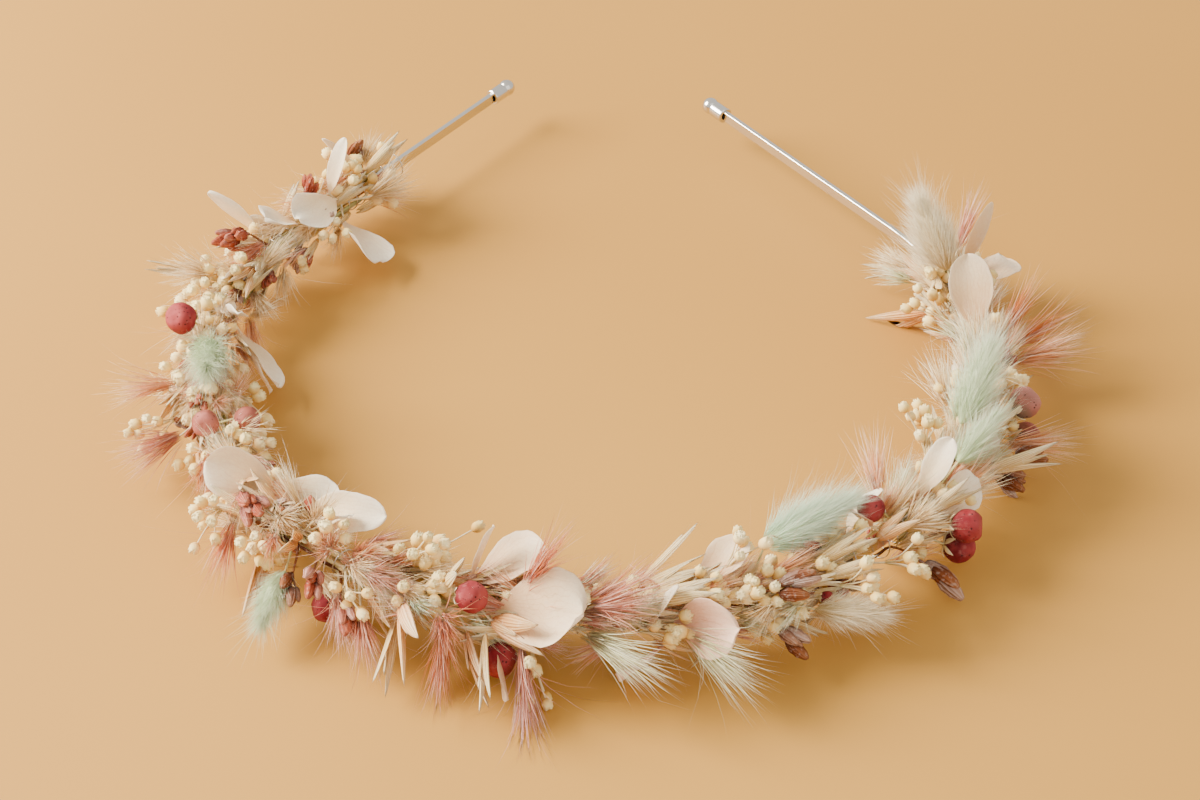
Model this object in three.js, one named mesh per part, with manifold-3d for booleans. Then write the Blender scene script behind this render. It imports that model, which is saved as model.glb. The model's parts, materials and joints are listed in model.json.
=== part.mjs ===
// A flower crown: dried sprigs bound with fine wire onto an open, springy steel headband.
// Millimetres, +Z up, the crown lying flat. +Y is the open back, -Y the middle of the band.
import * as THREE from "three";
import { mergeVertices } from "three/addons/utils/BufferGeometryUtils.js";
import Module from "manifold-3d";

const wasm = await Module();
wasm.setup();

// The strip, measured along its middle line.
const BAND_RADIUS = 70; // of the round part
const SHOULDER_DEG = 35.5; // how far the round part runs on past the widest point, each side
const LEFT_BARE = 34.3; // from the last turn of binding to the end
const RIGHT_BARE = 67.3;
const STRIP_THICK = 1; // across the strip, towards the head
const STRIP_HIGH = 2.2; // the strip stands on edge
const STRIP_BEVEL = 0.25;
const BAND_HEIGHT = 9; // of the strip's middle over the table

// The ball ends. Each ball is drawn a little larger, so that its flat facets keep to its true size.
const BALL_RADIUS = 1.7;
const BALL_FACETING = 1.1;
const BALL_SUNK = 0.6; // how far the ball's middle stands past the collar, in ball radii
const BALL_LATITUDES = [-20, 10, 40, 65]; // of its rings, in degrees, with a point at the end
const COLLAR_WALL = 0.5;
const COLLAR_LONG = 4;
const STRIP_IN_COLLAR = 2.5;
const TIP_SHARE = 0.85; // the strip's tip is filed down to this share of its section, to go into the collar

// The binding wire, wound round the strip and the stems.
const WINDING_PITCH = 7;
const BINDING_WIRE = 0.5; // its diameter
const FIRST_TURN = -26; // whole turns, counted from the middle of the band
const LAST_TURN = 20;

// Where the strip flexes: whole turns from the middle.
const FLEX_TURNS = 7;
const FLEX_CLEARANCE = 1.6; // bare strip each side of a flex line

const CLEARANCE = 0.3; // between pieces that touch
const STEM_RADIUS = 0.4;
const STEM_TUCKED = 6; // stem length under the binding
const STEM_RISE = 0.5; // how far a stem runs on while it rises to its head, as a share of the rise
const THINNEST = 0.6; // a head's thinnest part, in stem radii
const SPRIG_SIDES = 6;

const TURN = 2 * Math.PI;
const radians = THREE.MathUtils.degToRad;
const UP = new THREE.Vector3(0, 0, 1);

const shoulder = radians(90 + SHOULDER_DEG);
const roundHalf = shoulder * BAND_RADIUS;
const flexStation = FLEX_TURNS * WINDING_PITCH;
const leftEnd = FIRST_TURN * WINDING_PITCH - LEFT_BARE;
const rightEnd = LAST_TURN * WINDING_PITCH + RIGHT_BARE;
const stripReach = Math.hypot(STRIP_HIGH / 2, STRIP_THICK / 2 - STRIP_BEVEL);
const stemRing = stripReach + CLEARANCE + STEM_RADIUS;
const windingSteps = 6;
// A winding made of straight steps cuts its corners, so it runs a little wider.
const windingRing = (stemRing + STEM_RADIUS + CLEARANCE + BINDING_WIRE / 2) / Math.cos(Math.PI / windingSteps);
const bindingReach = windingRing + BINDING_WIRE / 2;

// Place and directions on the strip at a distance from its middle, positive towards the right end.
function station(along) {
  const angle = THREE.MathUtils.clamp(along / BAND_RADIUS, -shoulder, shoulder);
  const place = new THREE.Vector3(Math.sin(angle), -Math.cos(angle), 0).multiplyScalar(BAND_RADIUS);
  const forward = new THREE.Vector3(Math.cos(angle), Math.sin(angle), 0);
  const past = along - angle * BAND_RADIUS;
  place.addScaledVector(forward, past);
  const outward = new THREE.Vector3().crossVectors(forward, UP);
  return { place, forward, outward };
}

// A direction square to the strip: 0 outward, 90 up, 180 towards the head, 270 down.
function aroundStrip(spot, roll) {
  return spot.outward.clone().multiplyScalar(Math.cos(roll)).addScaledVector(UP, Math.sin(roll));
}

class WindingLine extends THREE.Curve {
  constructor(from, to) {
    super();
    this.from = from;
    this.to = to;
  }
  getPoint(share) {
    const along = THREE.MathUtils.lerp(this.from, this.to, share);
    const spot = station(along);
    return spot.place.addScaledVector(aroundStrip(spot, (along / WINDING_PITCH) * TURN), windingRing);
  }
}

function finish(colour, roughness, metalness = 0) {
  return new THREE.MeshStandardMaterial({ color: colour, roughness, metalness });
}

const finishes = {
  steel: finish("#c9c7c4", 0.25, 1),
  binding: finish("#b9b2a6", 0.35, 1),
  petal: finish("#efe3d8", 0.7),
  tail: finish("#d3e2d3", 0.95),
  berry: finish("#a83f4c", 0.6),
  broom: finish("#ecdcb8", 0.9),
  oat: finish("#ebdcc0", 0.7),
  husk: finish("#eec79c", 0.7),
  tuft: finish("#d58b74", 0.95),
  pod: finish("#9c6450", 0.85),
};

const crown = new THREE.Group();

function add(name, geometry, material) {
  const mesh = new THREE.Mesh(geometry, material);
  mesh.name = name;
  crown.add(mesh);
}

// The strip's section, with its long side upright and its four edges eased.
function stripSection() {
  const x = STRIP_HIGH / 2;
  const y = STRIP_THICK / 2;
  const eased = [
    [x, y - STRIP_BEVEL],
    [x - STRIP_BEVEL, y],
    [-x + STRIP_BEVEL, y],
    [-x, y - STRIP_BEVEL],
    [-x, -y + STRIP_BEVEL],
    [-x + STRIP_BEVEL, -y],
    [x - STRIP_BEVEL, -y],
    [x, -y + STRIP_BEVEL],
  ];
  return new THREE.Shape(eased.map(([a, b]) => new THREE.Vector2(a, b)));
}

// A length of strip, swept through its stations, with one long facet for each straight end. An end that
// carries a collar is filed down, up to a shoulder just short of the collar.
function strip(from, to, tips) {
  const section = stripSection().getPoints();
  const tipLong = STRIP_IN_COLLAR + CLEARANCE;
  const start = tips.from ? from + tipLong : from;
  const end = tips.to ? to - tipLong : to;
  const step = BAND_RADIUS * radians(6);
  const first = Math.max(start, -roundHalf);
  const last = Math.min(end, roundHalf);
  const count = Math.ceil((last - first) / step);
  const rows = [[start, 1]];
  for (let i = 0; i <= count; i += 1) {
    const stop = THREE.MathUtils.lerp(first, last, i / count);
    if (stop > start && stop < end) rows.push([stop, 1]);
  }
  rows.push([end, 1]);
  if (tips.from) rows.unshift([from, TIP_SHARE], [start, TIP_SHARE]);
  if (tips.to) rows.push([end, TIP_SHARE], [to, TIP_SHARE]);
  rows.reverse();
  const solid = new THREE.CylinderGeometry(1, 1, 1, section.length, rows.length - 1);
  const spots = solid.attributes.position;
  const perRow = section.length + 1;
  const sideCount = perRow * rows.length;
  for (let i = 0; i < spots.count; i += 1) {
    const lid = i >= sideCount;
    const row = lid ? (spots.getY(i) > 0 ? 0 : rows.length - 1) : Math.floor(i / perRow);
    const [along, share] = rows[row];
    const spot = station(along);
    const onAxis = lid && Math.hypot(spots.getX(i), spots.getZ(i)) < 0.5;
    const corner = lid ? cornerOf(spots.getX(i), spots.getZ(i), section.length) : i % perRow;
    const point = spot.place.clone();
    if (!onAxis) {
      const edge = section[corner % section.length];
      point.addScaledVector(UP, edge.x * share).addScaledVector(spot.outward, edge.y * share);
    }
    spots.setXYZ(i, point.x, point.y, point.z);
  }
  return solid;
}

// Which corner of a cylinder a lid vertex belongs to.
function cornerOf(x, z, corners) {
  return Math.round((Math.atan2(x, z) / TURN) * corners + corners) % corners;
}

const gap = CLEARANCE / 2;
add("band_middle", strip(-flexStation + gap, flexStation - gap, {}), finishes.steel);
add("band_left_arm", strip(leftEnd, -flexStation - gap, { from: true }), finishes.steel);
add("band_right_arm", strip(flexStation + gap, rightEnd, { to: true }), finishes.steel);

// A collar with a blind bore for the strip, and a ball on its end.
function ballEnd() {
  const bore = stripReach * TIP_SHARE + CLEARANCE;
  const collar = bore + COLLAR_WALL;
  const depth = STRIP_IN_COLLAR + CLEARANCE;
  const ballMiddle = COLLAR_LONG + BALL_RADIUS * BALL_SUNK;
  const ballReach = BALL_RADIUS * BALL_FACETING;
  const profile = [
    [0, depth],
    [bore, depth],
    [bore, 0],
    [collar, 0],
    [collar, COLLAR_LONG],
  ];
  const ball = BALL_LATITUDES.map(radians).map((latitude) => [
    ballReach * Math.cos(latitude),
    ballMiddle + ballReach * Math.sin(latitude),
  ]);
  const points = [...profile, ...ball, [0, ballMiddle + ballReach]];
  return new THREE.LatheGeometry(points.map(([r, y]) => new THREE.Vector2(r, y)), 12);
}

function placeBallEnd(name, end, side) {
  const spot = station(end);
  const pointing = spot.forward.clone().multiplyScalar(side);
  const turn = new THREE.Quaternion().setFromUnitVectors(new THREE.Vector3(0, 1, 0), pointing);
  const solid = ballEnd().applyQuaternion(turn);
  const mouth = spot.place.addScaledVector(pointing, -STRIP_IN_COLLAR);
  solid.translate(mouth.x, mouth.y, mouth.z);
  add(name, solid, finishes.steel);
}

placeBallEnd("ball_end_left", leftEnd, -1);
placeBallEnd("ball_end_right", rightEnd, 1);

// The binding, one length for each part of the strip.
function winding(from, to) {
  const side = (BINDING_WIRE / 2) * Math.SQRT1_2;
  const square = [[-side, -side], [side, -side], [side, side], [-side, side]];
  const section = new THREE.Shape(square.map(([a, b]) => new THREE.Vector2(a, b)));
  const steps = Math.round(((to - from) / WINDING_PITCH) * windingSteps);
  return new THREE.ExtrudeGeometry(section, {
    steps,
    extrudePath: new WindingLine(from, to),
    curveSegments: 1,
  });
}

const flexEnd = flexStation - FLEX_CLEARANCE;
const flexStart = flexStation + FLEX_CLEARANCE;
add("binding_middle", winding(-flexEnd, flexEnd), finishes.binding);
add("binding_left", winding(FIRST_TURN * WINDING_PITCH, -flexStart), finishes.binding);
add("binding_right", winding(flexStart, LAST_TURN * WINDING_PITCH), finishes.binding);

// Outlines of the heads: share of the head's length, share of its width, share of its depth.
const outlines = {
  petal: [[0, 0.06, 1], [0.14, 0.1, 1], [0.3, 0.56, 1], [0.52, 0.94, 1], [0.72, 1, 1], [0.9, 0.74, 1], [1, 0.3, 1]],
  tail: [[0, 0.3, 0.3], [0.12, 0.72, 0.72], [0.35, 1, 1], [0.65, 0.88, 0.88], [0.88, 0.5, 0.5], [1, 0.15, 0.15]],
  berry: [[0.04, 0.38, 0.38], [0.2, 0.8, 0.8], [0.42, 1, 1], [0.64, 0.94, 0.94], [0.86, 0.66, 0.66], [1, 0.2, 0.2]],
  broom: [[0, 0.2, 0.2], [0.3, 0.55, 0.55], [0.65, 1, 1], [0.9, 0.85, 0.85], [1, 0.5, 0.5]],
  oat: [[0, 0.25, 0.3], [0.2, 0.8, 0.8], [0.4, 1, 1], [0.7, 0.6, 0.6], [1, 0.15, 0.15]],
  husk: [[0, 0.3, 0.4], [0.2, 0.8, 0.9], [0.5, 1, 1], [0.8, 0.75, 0.7], [1, 0.4, 0.3]],
  tuft: [[0, 0.25, 0.25], [0.2, 0.6, 0.6], [0.55, 0.9, 0.9], [0.9, 1, 1], [1, 0.7, 0.7]],
  pod: [[0, 0.3, 0.3], [0.2, 0.85, 0.85], [0.5, 1, 1], [0.8, 0.8, 0.8], [1, 0.35, 0.35]],
};

// A head's line: the stem lies on the strip under the binding, then rises clear and leads into the head.
function headLine(stem, head) {
  const way = stem.back ? -1 : 1;
  const along = WINDING_PITCH * (stem.turn + stem.roll / 360 + 0.5);
  const stemAt = (distance) => {
    const spot = station(distance);
    return spot.place.addScaledVector(aroundStrip(spot, radians(stem.roll)), stemRing);
  };
  const leaving = station(along);
  const outOf = aroundStrip(leaving, radians(head.roll));
  const lift = bindingReach + CLEARANCE + head.deep / 2;
  const headStart = leaving.place.clone().addScaledVector(outOf, lift);
  headStart.addScaledVector(leaving.forward, way * (lift - stemRing) * STEM_RISE);
  const lean = radians(head.lean);
  const leaning = aroundStrip(leaving, radians(head.toward ?? head.roll));
  const pointing = leaving.forward.clone().multiplyScalar(way * Math.cos(lean));
  pointing.addScaledVector(leaning, Math.sin(lean));
  const points = [
    stemAt(along - way * STEM_TUCKED),
    stemAt(along - way * STEM_TUCKED * 0.5),
    stemAt(along - way * STEM_TUCKED * 0.2),
    headStart,
    headStart.clone().addScaledVector(pointing, head.long * 0.5),
    headStart.clone().addScaledVector(pointing, head.long),
  ];
  return { line: new THREE.CatmullRomCurve3(points, false, "centripetal"), leaning };
}

// A round stem that swells into one head, swept along its line.
function headSolid(stem, head) {
  const { line, leaning } = headLine(stem, head);
  const stemShare = 1 - head.long / line.getLength();
  const rows = [0, 0.4, 0.7].map((share) => [share * stemShare, STEM_RADIUS, STEM_RADIUS]);
  for (const [share, wide, deep] of outlines[head.shape]) {
    const width = Math.max((wide * head.wide) / 2, STEM_RADIUS * THINNEST);
    const depth = Math.max((deep * head.deep) / 2, STEM_RADIUS * THINNEST);
    rows.push([stemShare + share * (1 - stemShare), width, depth]);
  }
  const points = rows.map(([share]) => new THREE.Vector2(1, share));
  points.unshift(new THREE.Vector2(0, 0));
  points.push(new THREE.Vector2(0, 1));
  const solid = new THREE.LatheGeometry(points, SPRIG_SIDES);
  const spots = solid.attributes.position;
  const spin = radians(head.spin);
  for (let i = 0; i < spots.count; i += 1) {
    const row = rows[(i % points.length) - 1];
    const share = THREE.MathUtils.clamp(spots.getY(i), 0, 1);
    const middle = line.getPointAt(share);
    const ahead = line.getTangentAt(share);
    const across = new THREE.Vector3().crossVectors(leaning, ahead).normalize();
    across.applyAxisAngle(ahead, spin);
    const through = new THREE.Vector3().crossVectors(ahead, across);
    if (row) {
      middle.addScaledVector(across, spots.getX(i) * row[1]);
      middle.addScaledVector(through, -spots.getZ(i) * row[2]);
    }
    spots.setXYZ(i, middle.x, middle.y, middle.z);
  }
  return solid;
}

function lowest(geometry) {
  geometry.computeBoundingBox();
  return geometry.boundingBox.min.z;
}

// The lean at which a head under the strip just lies on the table.
function restingLean(stem, head) {
  let short = -5;
  let far = 75;
  for (let i = 0; i < 14; i += 1) {
    const lean = (short + far) / 2;
    if (lowest(headSolid(stem, { ...head, lean })) > -BAND_HEIGHT) short = lean;
    else far = lean;
  }
  return short;
}

// A closed three.js geometry as a solid that can be joined.
function solidOf(geometry) {
  const bare = new THREE.BufferGeometry().setAttribute("position", geometry.toNonIndexed().attributes.position);
  const merged = mergeVertices(bare, 1e-4);
  const mesh = { numProp: 3, vertProperties: merged.attributes.position.array };
  return new wasm.Manifold(new wasm.Mesh({ ...mesh, triVerts: new Uint32Array(merged.index.array) }));
}

function geometryOf(solid) {
  const mesh = solid.getMesh();
  const geometry = new THREE.BufferGeometry();
  geometry.setAttribute("position", new THREE.BufferAttribute(new Float32Array(mesh.vertProperties), 3));
  geometry.setIndex(Array.from(mesh.triVerts));
  geometry.computeVertexNormals();
  return geometry;
}

// A sprig: one stem with one head, or with several heads joined on it.
function sprigGeometry(kind, stem, places) {
  const heads = places.map((place) => ({ spin: 0, roll: stem.roll, ...kinds[kind], ...place }));
  for (const head of heads) {
    if (head.rests) head.lean = restingLean(stem, head);
  }
  const solids = heads.map((head) => headSolid(stem, head));
  if (solids.length === 1) return solids[0];
  return geometryOf(solids.map(solidOf).reduce((joined, next) => joined.add(next)));
}

// Sizes shared by the kinds of sprig: length, width and depth of the head, and its outline and finish.
const kinds = {
  petal: { long: 13, wide: 10, deep: 0.6, shape: "petal", finish: "petal" },
  tail: { long: 15, wide: 8, deep: 8, shape: "tail", finish: "tail" },
  berry: { long: 6.6, wide: 6.3, deep: 6.3, shape: "berry", finish: "berry" },
  broom: { long: 10, wide: 7, deep: 5, shape: "broom", finish: "broom" },
  oat: { long: 15, wide: 3, deep: 2.2, shape: "oat", finish: "oat" },
  husk: { long: 15, wide: 4.5, deep: 2.6, shape: "husk", finish: "husk" },
  tuft: { long: 14, wide: 5, deep: 4, shape: "tuft", finish: "tuft" },
  pods: { long: 10, wide: 6.5, deep: 5, shape: "pod", finish: "pod" },
};

// The sprigs in the order they were bound on, from the left end to the right. The stem has the turn of
// binding that holds it and its roll round the strip. A head leans away from the strip, and may start at
// another roll, lean toward another one or spin about its own middle. Angles are in degrees.
const sprigs = [
  ["pods_left_end", "pods", { turn: -25, roll: 20, back: true }, [{ lean: 12, long: 9 }]],
  ["floret_left_end", "petal", { turn: -24, roll: 120 }, [
    { lean: 15, long: 15, wide: 8.5 },
    { roll: 195, lean: 72, long: 13, wide: 11, spin: 60 },
    { roll: 95, lean: 110, long: 12, wide: 3.6 },
  ]],
  ["pods_left_back", "pods", { turn: -21, roll: 70 }, [{ lean: 25, long: 10, wide: 8 }]],
  ["broom_left_back", "broom", { turn: -19, roll: 330, back: true }, [{ rests: true, long: 12 }]],
  ["berry_left_back", "berry", { turn: -17, roll: 60 }, [{ lean: 50 }]],
  ["floret_left", "petal", { turn: -18, roll: 150 }, [
    { roll: 125, lean: 40, long: 14, wide: 4.5 },
    { roll: 195, lean: 40, long: 16, wide: 6.5, spin: 60 },
  ]],
  ["tail_left_mint", "tail", { turn: -16, roll: 100 }, [{ lean: 12, long: 13 }]],
  ["broom_left", "broom", { turn: -15, roll: 180 }, [{ lean: 35 }]],
  ["tuft_left_peach", "tuft", { turn: -15, roll: 20 }, [{ lean: 60 }]],
  ["berries_left", "berry", { turn: -13, roll: 95 }, [
    { roll: 70, lean: 20, long: 5.4, wide: 5.2, deep: 5.2 },
    { roll: 130, lean: 25, long: 5.4, wide: 5.2, deep: 5.2 },
  ]],
  ["floret_left_front", "petal", { turn: -10, roll: 110 }, [
    { roll: 110, toward: 35, lean: 133, long: 12, wide: 9.5 },
    { roll: 120, toward: 192, lean: 38, long: 11, wide: 9, spin: -52 },
  ]],
  ["tuft_left_coral", "tuft", { turn: -11, roll: 350 }, [{ lean: 45 }]],
  ["husk_left", "husk", { turn: -10, roll: 320 }, [{ rests: true, long: 14 }]],
  ["pods_left_front", "pods", { turn: -10, roll: 50 }, [{ lean: 18, wide: 7.4 }]],
  ["broom_left_front", "broom", { turn: -9, roll: 15 }, [{ lean: 50, long: 8, wide: 6, deep: 4 }]],
  ["petal_left_pointing", "petal", { turn: -9, roll: 134 }, [{ lean: 24, long: 16, wide: 7, spin: 90 }]],
  ["tail_left_front_mint", "tail", { turn: -9, roll: 350 }, [{ lean: 65, long: 12, wide: 6, deep: 6 }]],
  ["berry_front_left", "berry", { turn: -7, roll: 325, back: true }, [{ lean: 45, long: 5.4, wide: 5.2, deep: 5.2 }]],
  ["tuft_front_left", "tuft", { turn: -6, roll: 5 }, [
    { roll: 345, lean: 50, wide: 6 },
    { roll: 50, lean: 30, long: 10, wide: 4.5 },
  ]],
  ["broom_front_left", "broom", { turn: -6, roll: 150 }, [
    { roll: 130, lean: 25, wide: 6, deep: 4 },
    { roll: 170, lean: 50, long: 14, wide: 5, deep: 4 },
  ]],
  ["husk_front_left", "husk", { turn: -5, roll: 15 }, [{ lean: 55, long: 16, wide: 5 }]],
  ["tuft_front_coral", "tuft", { turn: -5, roll: 345 }, [
    { roll: 15, lean: 60, long: 12, wide: 8 },
    { roll: 330, rests: true, wide: 4.5, deep: 3 },
  ]],
  ["floret_front", "petal", { turn: -4, roll: 135 }, [
    { roll: 120, lean: 75, long: 10, wide: 3.6 },
    { roll: 140, lean: 30, long: 13, wide: 11.5, spin: 50 },
  ]],
  ["petal_front_big", "petal", { turn: -3, roll: 80 }, [{ roll: 55, lean: 12, long: 15, wide: 13.5 }]],
  ["berry_front_top", "berry", { turn: -4, roll: 85 }, [{ roll: 55, lean: 20, long: 6, wide: 5.8, deep: 5.8 }]],
  ["husk_front_forked", "husk", { turn: -3, roll: 35 }, [{ roll: 22, lean: 32, long: 11, wide: 5 }]],
  ["oat_front_long", "oat", { turn: -4, roll: 355 }, [{ roll: 0, lean: 75, long: 18 }]],
  ["berry_front_low", "berry", { turn: -4, roll: 310 }, [{ roll: 328, lean: 20 }]],
  ["broom_front_low", "broom", { turn: -3, roll: 330 }, [{ rests: true, wide: 8, deep: 4 }]],
  ["tuft_front_mauve", "tuft", { turn: -1, roll: 60 }, [{ lean: 30, wide: 7 }]],
  ["tuft_front_green", "tuft", { turn: -1, roll: 15 }, [{ lean: 45, long: 19, wide: 5 }]],
  ["floret_front_right", "petal", { turn: 1, roll: 20 }, [
    { roll: 25, lean: 35, long: 12, wide: 10 },
    { roll: 320, lean: 150, long: 11, wide: 8 },
  ]],
  ["oats_front_right", "oat", { turn: 0, roll: 100 }, [
    { roll: 135, lean: 40, long: 15 },
    { roll: 110, lean: 20, long: 13 },
    { roll: 70, lean: 22, long: 15, wide: 4 },
  ]],
  ["broom_front_right", "broom", { turn: 2, roll: 105 }, [{ lean: 46, wide: 8 }]],
  ["tail_front_right_aqua", "tail", { turn: 3, roll: 120 }, [{ lean: 15, long: 17, wide: 9 }]],
  ["pods_front_right", "pods", { turn: 3, roll: 30 }, [
    { roll: 50, lean: 15, long: 9, wide: 6 },
    { roll: 345, lean: 60, long: 10, wide: 4, deep: 4 },
  ]],
  ["tail_front_right_cream", "tail", { turn: 3, roll: 345 }, [{ roll: 0, lean: 30, long: 11, wide: 6, deep: 6 }]],
  ["berry_right_top", "berry", { turn: 7, roll: 100, back: true }, [{ lean: 30, long: 5.6, wide: 5.2, deep: 5.2 }]],
  ["floret_right", "petal", { turn: 8, roll: 60 }, [
    { roll: 35, lean: 20, long: 10, wide: 7 },
    { roll: 85, lean: 50, long: 11, wide: 5 },
  ]],
  ["berries_right", "berry", { turn: 7, roll: 345 }, [
    { roll: 330, lean: 40 },
    { roll: 10, lean: 62, long: 9 },
  ]],
  ["tuft_right_peach", "tuft", { turn: 7, roll: 155 }, [{ lean: 50 }]],
  ["tail_right_mint", "tail", { turn: 9, roll: 70 }, [{ lean: 20, long: 12, wide: 6, deep: 6 }]],
  ["oat_right_long", "oat", { turn: 10, roll: 15 }, [{ lean: 50, long: 16 }]],
  ["broom_right", "broom", { turn: 9, roll: 130 }, [{ lean: 60, wide: 8 }]],
  ["pods_right", "pods", { turn: 10, roll: 325 }, [{ rests: true, deep: 4 }]],
  ["tail_right_back_mint", "tail", { turn: 10, roll: 95 }, [{ lean: 30, long: 16 }]],
  ["berries_right_back", "berry", { turn: 12, roll: 0 }, [
    { roll: 340, lean: 45 },
    { roll: 30, lean: 40 },
  ]],
  ["tuft_right_back", "tuft", { turn: 15, roll: 20 }, [
    { roll: 10, lean: 57, long: 17, wide: 4.5, deep: 3 },
    { roll: 45, lean: 50, long: 14, wide: 3.5, deep: 3 },
  ]],
  ["floret_right_back", "petal", { turn: 15, roll: 100 }, [{ lean: 45, long: 14, wide: 8 }]],
  ["tail_right_back_cream", "tail", { turn: 17, roll: 110 }, [{ lean: 60, long: 14, wide: 10, deep: 7 }]],
  ["floret_right_end", "petal", { turn: 18, roll: 30 }, [
    { roll: 0, lean: 55, long: 12, wide: 12, spin: 60 },
    { roll: 55, lean: 60, long: 14, wide: 3.6 },
  ]],
  ["husk_right_end", "husk", { turn: 17, roll: 220 }, [{ rests: true, long: 14 }]],
];

for (const [name, kind, stem, heads] of sprigs) {
  add(name, sprigGeometry(kind, stem, heads), finishes[kinds[kind].finish]);
}

// The crown stands on the table, and the middle of its outline is over the origin.
crown.updateMatrixWorld(true);
const outline = new THREE.Box3().setFromObject(crown);
const middle = outline.getCenter(new THREE.Vector3());
crown.position.set(-middle.x, -middle.y, -outline.min.z);

export default crown;
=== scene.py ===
"""Looks of a flower crown: dried sprigs bound with fine wire on a springy strip, built round its
fixed frame.

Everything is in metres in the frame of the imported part: +Z up, +Y the open back, -Y the middle
of the band.
"""

import json
import logging
import math
import zlib
from dataclasses import dataclass, replace
from enum import Enum
from typing import Callable, Optional, Sequence

import bmesh
import bpy
import numpy as np
from mathutils import Matrix, Vector, noise


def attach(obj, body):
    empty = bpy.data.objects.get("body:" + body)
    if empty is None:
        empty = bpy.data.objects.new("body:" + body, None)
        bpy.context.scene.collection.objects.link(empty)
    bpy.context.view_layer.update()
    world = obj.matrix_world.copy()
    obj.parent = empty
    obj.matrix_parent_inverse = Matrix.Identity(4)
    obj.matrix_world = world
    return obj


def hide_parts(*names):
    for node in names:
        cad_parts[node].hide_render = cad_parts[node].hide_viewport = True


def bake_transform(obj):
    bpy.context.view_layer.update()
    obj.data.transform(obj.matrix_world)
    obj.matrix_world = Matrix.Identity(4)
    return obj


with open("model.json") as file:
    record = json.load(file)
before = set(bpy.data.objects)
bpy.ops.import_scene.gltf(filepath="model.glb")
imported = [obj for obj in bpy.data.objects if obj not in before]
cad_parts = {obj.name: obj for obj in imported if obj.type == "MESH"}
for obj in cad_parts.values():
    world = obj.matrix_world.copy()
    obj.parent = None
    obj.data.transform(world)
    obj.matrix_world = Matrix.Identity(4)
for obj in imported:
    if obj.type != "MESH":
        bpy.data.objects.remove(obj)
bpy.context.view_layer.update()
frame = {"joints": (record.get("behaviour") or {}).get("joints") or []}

LOG = logging.getLogger("flower_crown")
MM = 0.001
TURN = 2 * math.pi
UP = np.array([0.0, 0.0, 1.0])
TABLE_GAP = 0.12 * MM
Array = np.ndarray
Colour = tuple[float, float, float]


def unit(vector: Array) -> Array:
    """The vector, or each row of vectors, at length one."""
    return vector / np.maximum(np.linalg.norm(vector, axis=-1, keepdims=True), 1e-12)


def colour(red: int, green: int, blue: int) -> Colour:
    """A colour given on the usual 0 to 255 scale, as the linear values that shaders use."""
    return tuple(((c / 255 + 0.055) / 1.055) ** 2.4 if c > 10 else c
        / 3294 for c in (red, green, blue))


# ---------------------------------------------------------------- shader building


class Wire:
    """A shader socket that takes part in Python sums: each operator adds its Math node."""

    def __init__(self, nodes: "Nodes", socket: bpy.types.NodeSocket) -> None:
        """Wraps one output socket of a material's nodes."""
        self.nodes = nodes
        self.socket = socket

    def _math(self, operation: str, other: object, swap: bool = False) -> "Wire":
        """A Math node on this socket and another value.

        Args:
            operation: the Math node's operation.
            other: a number or another wire.
            swap: true where the other value comes first.

        Returns:
            The node's result.
        """
        pair = (other, self) if swap else (self, other)
        return self.nodes.add("ShaderNodeMath", {"operation": operation}, {0: pair[0], 1: pair[1]})

    def __add__(self, other: object) -> "Wire":
        """Sum."""
        return self._math("ADD", other)

    __radd__ = __add__

    def __sub__(self, other: object) -> "Wire":
        """Difference."""
        return self._math("SUBTRACT", other)

    def __rsub__(self, other: object) -> "Wire":
        """Difference, from a number."""
        return self._math("SUBTRACT", other, True)

    def __mul__(self, other: object) -> "Wire":
        """Product."""
        return self._math("MULTIPLY", other)

    __rmul__ = __mul__

    def __truediv__(self, other: object) -> "Wire":
        """Quotient."""
        return self._math("DIVIDE", other)

    def power(self, other: object) -> "Wire":
        """This value raised to a power."""
        return self._math("POWER", other)

    def sine(self) -> "Wire":
        """Sine of this value."""
        return self._math("SINE", 0.0)

    def at_least(self, other: object) -> "Wire":
        """The larger of two values."""
        return self._math("MAXIMUM", other)

    def size(self) -> "Wire":
        """The value without its sign."""
        return self._math("ABSOLUTE", 0.0)

    def between(self, low: float, high: float) -> "Wire":
        """A smooth rise from 0 at low to 1 at high."""
        ends = {"From Min": low, "From Max": high}
        return self.nodes.add("ShaderNodeMapRange", {"interpolation_type": "SMOOTHSTEP"},
            {"Value": self, **ends})


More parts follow.
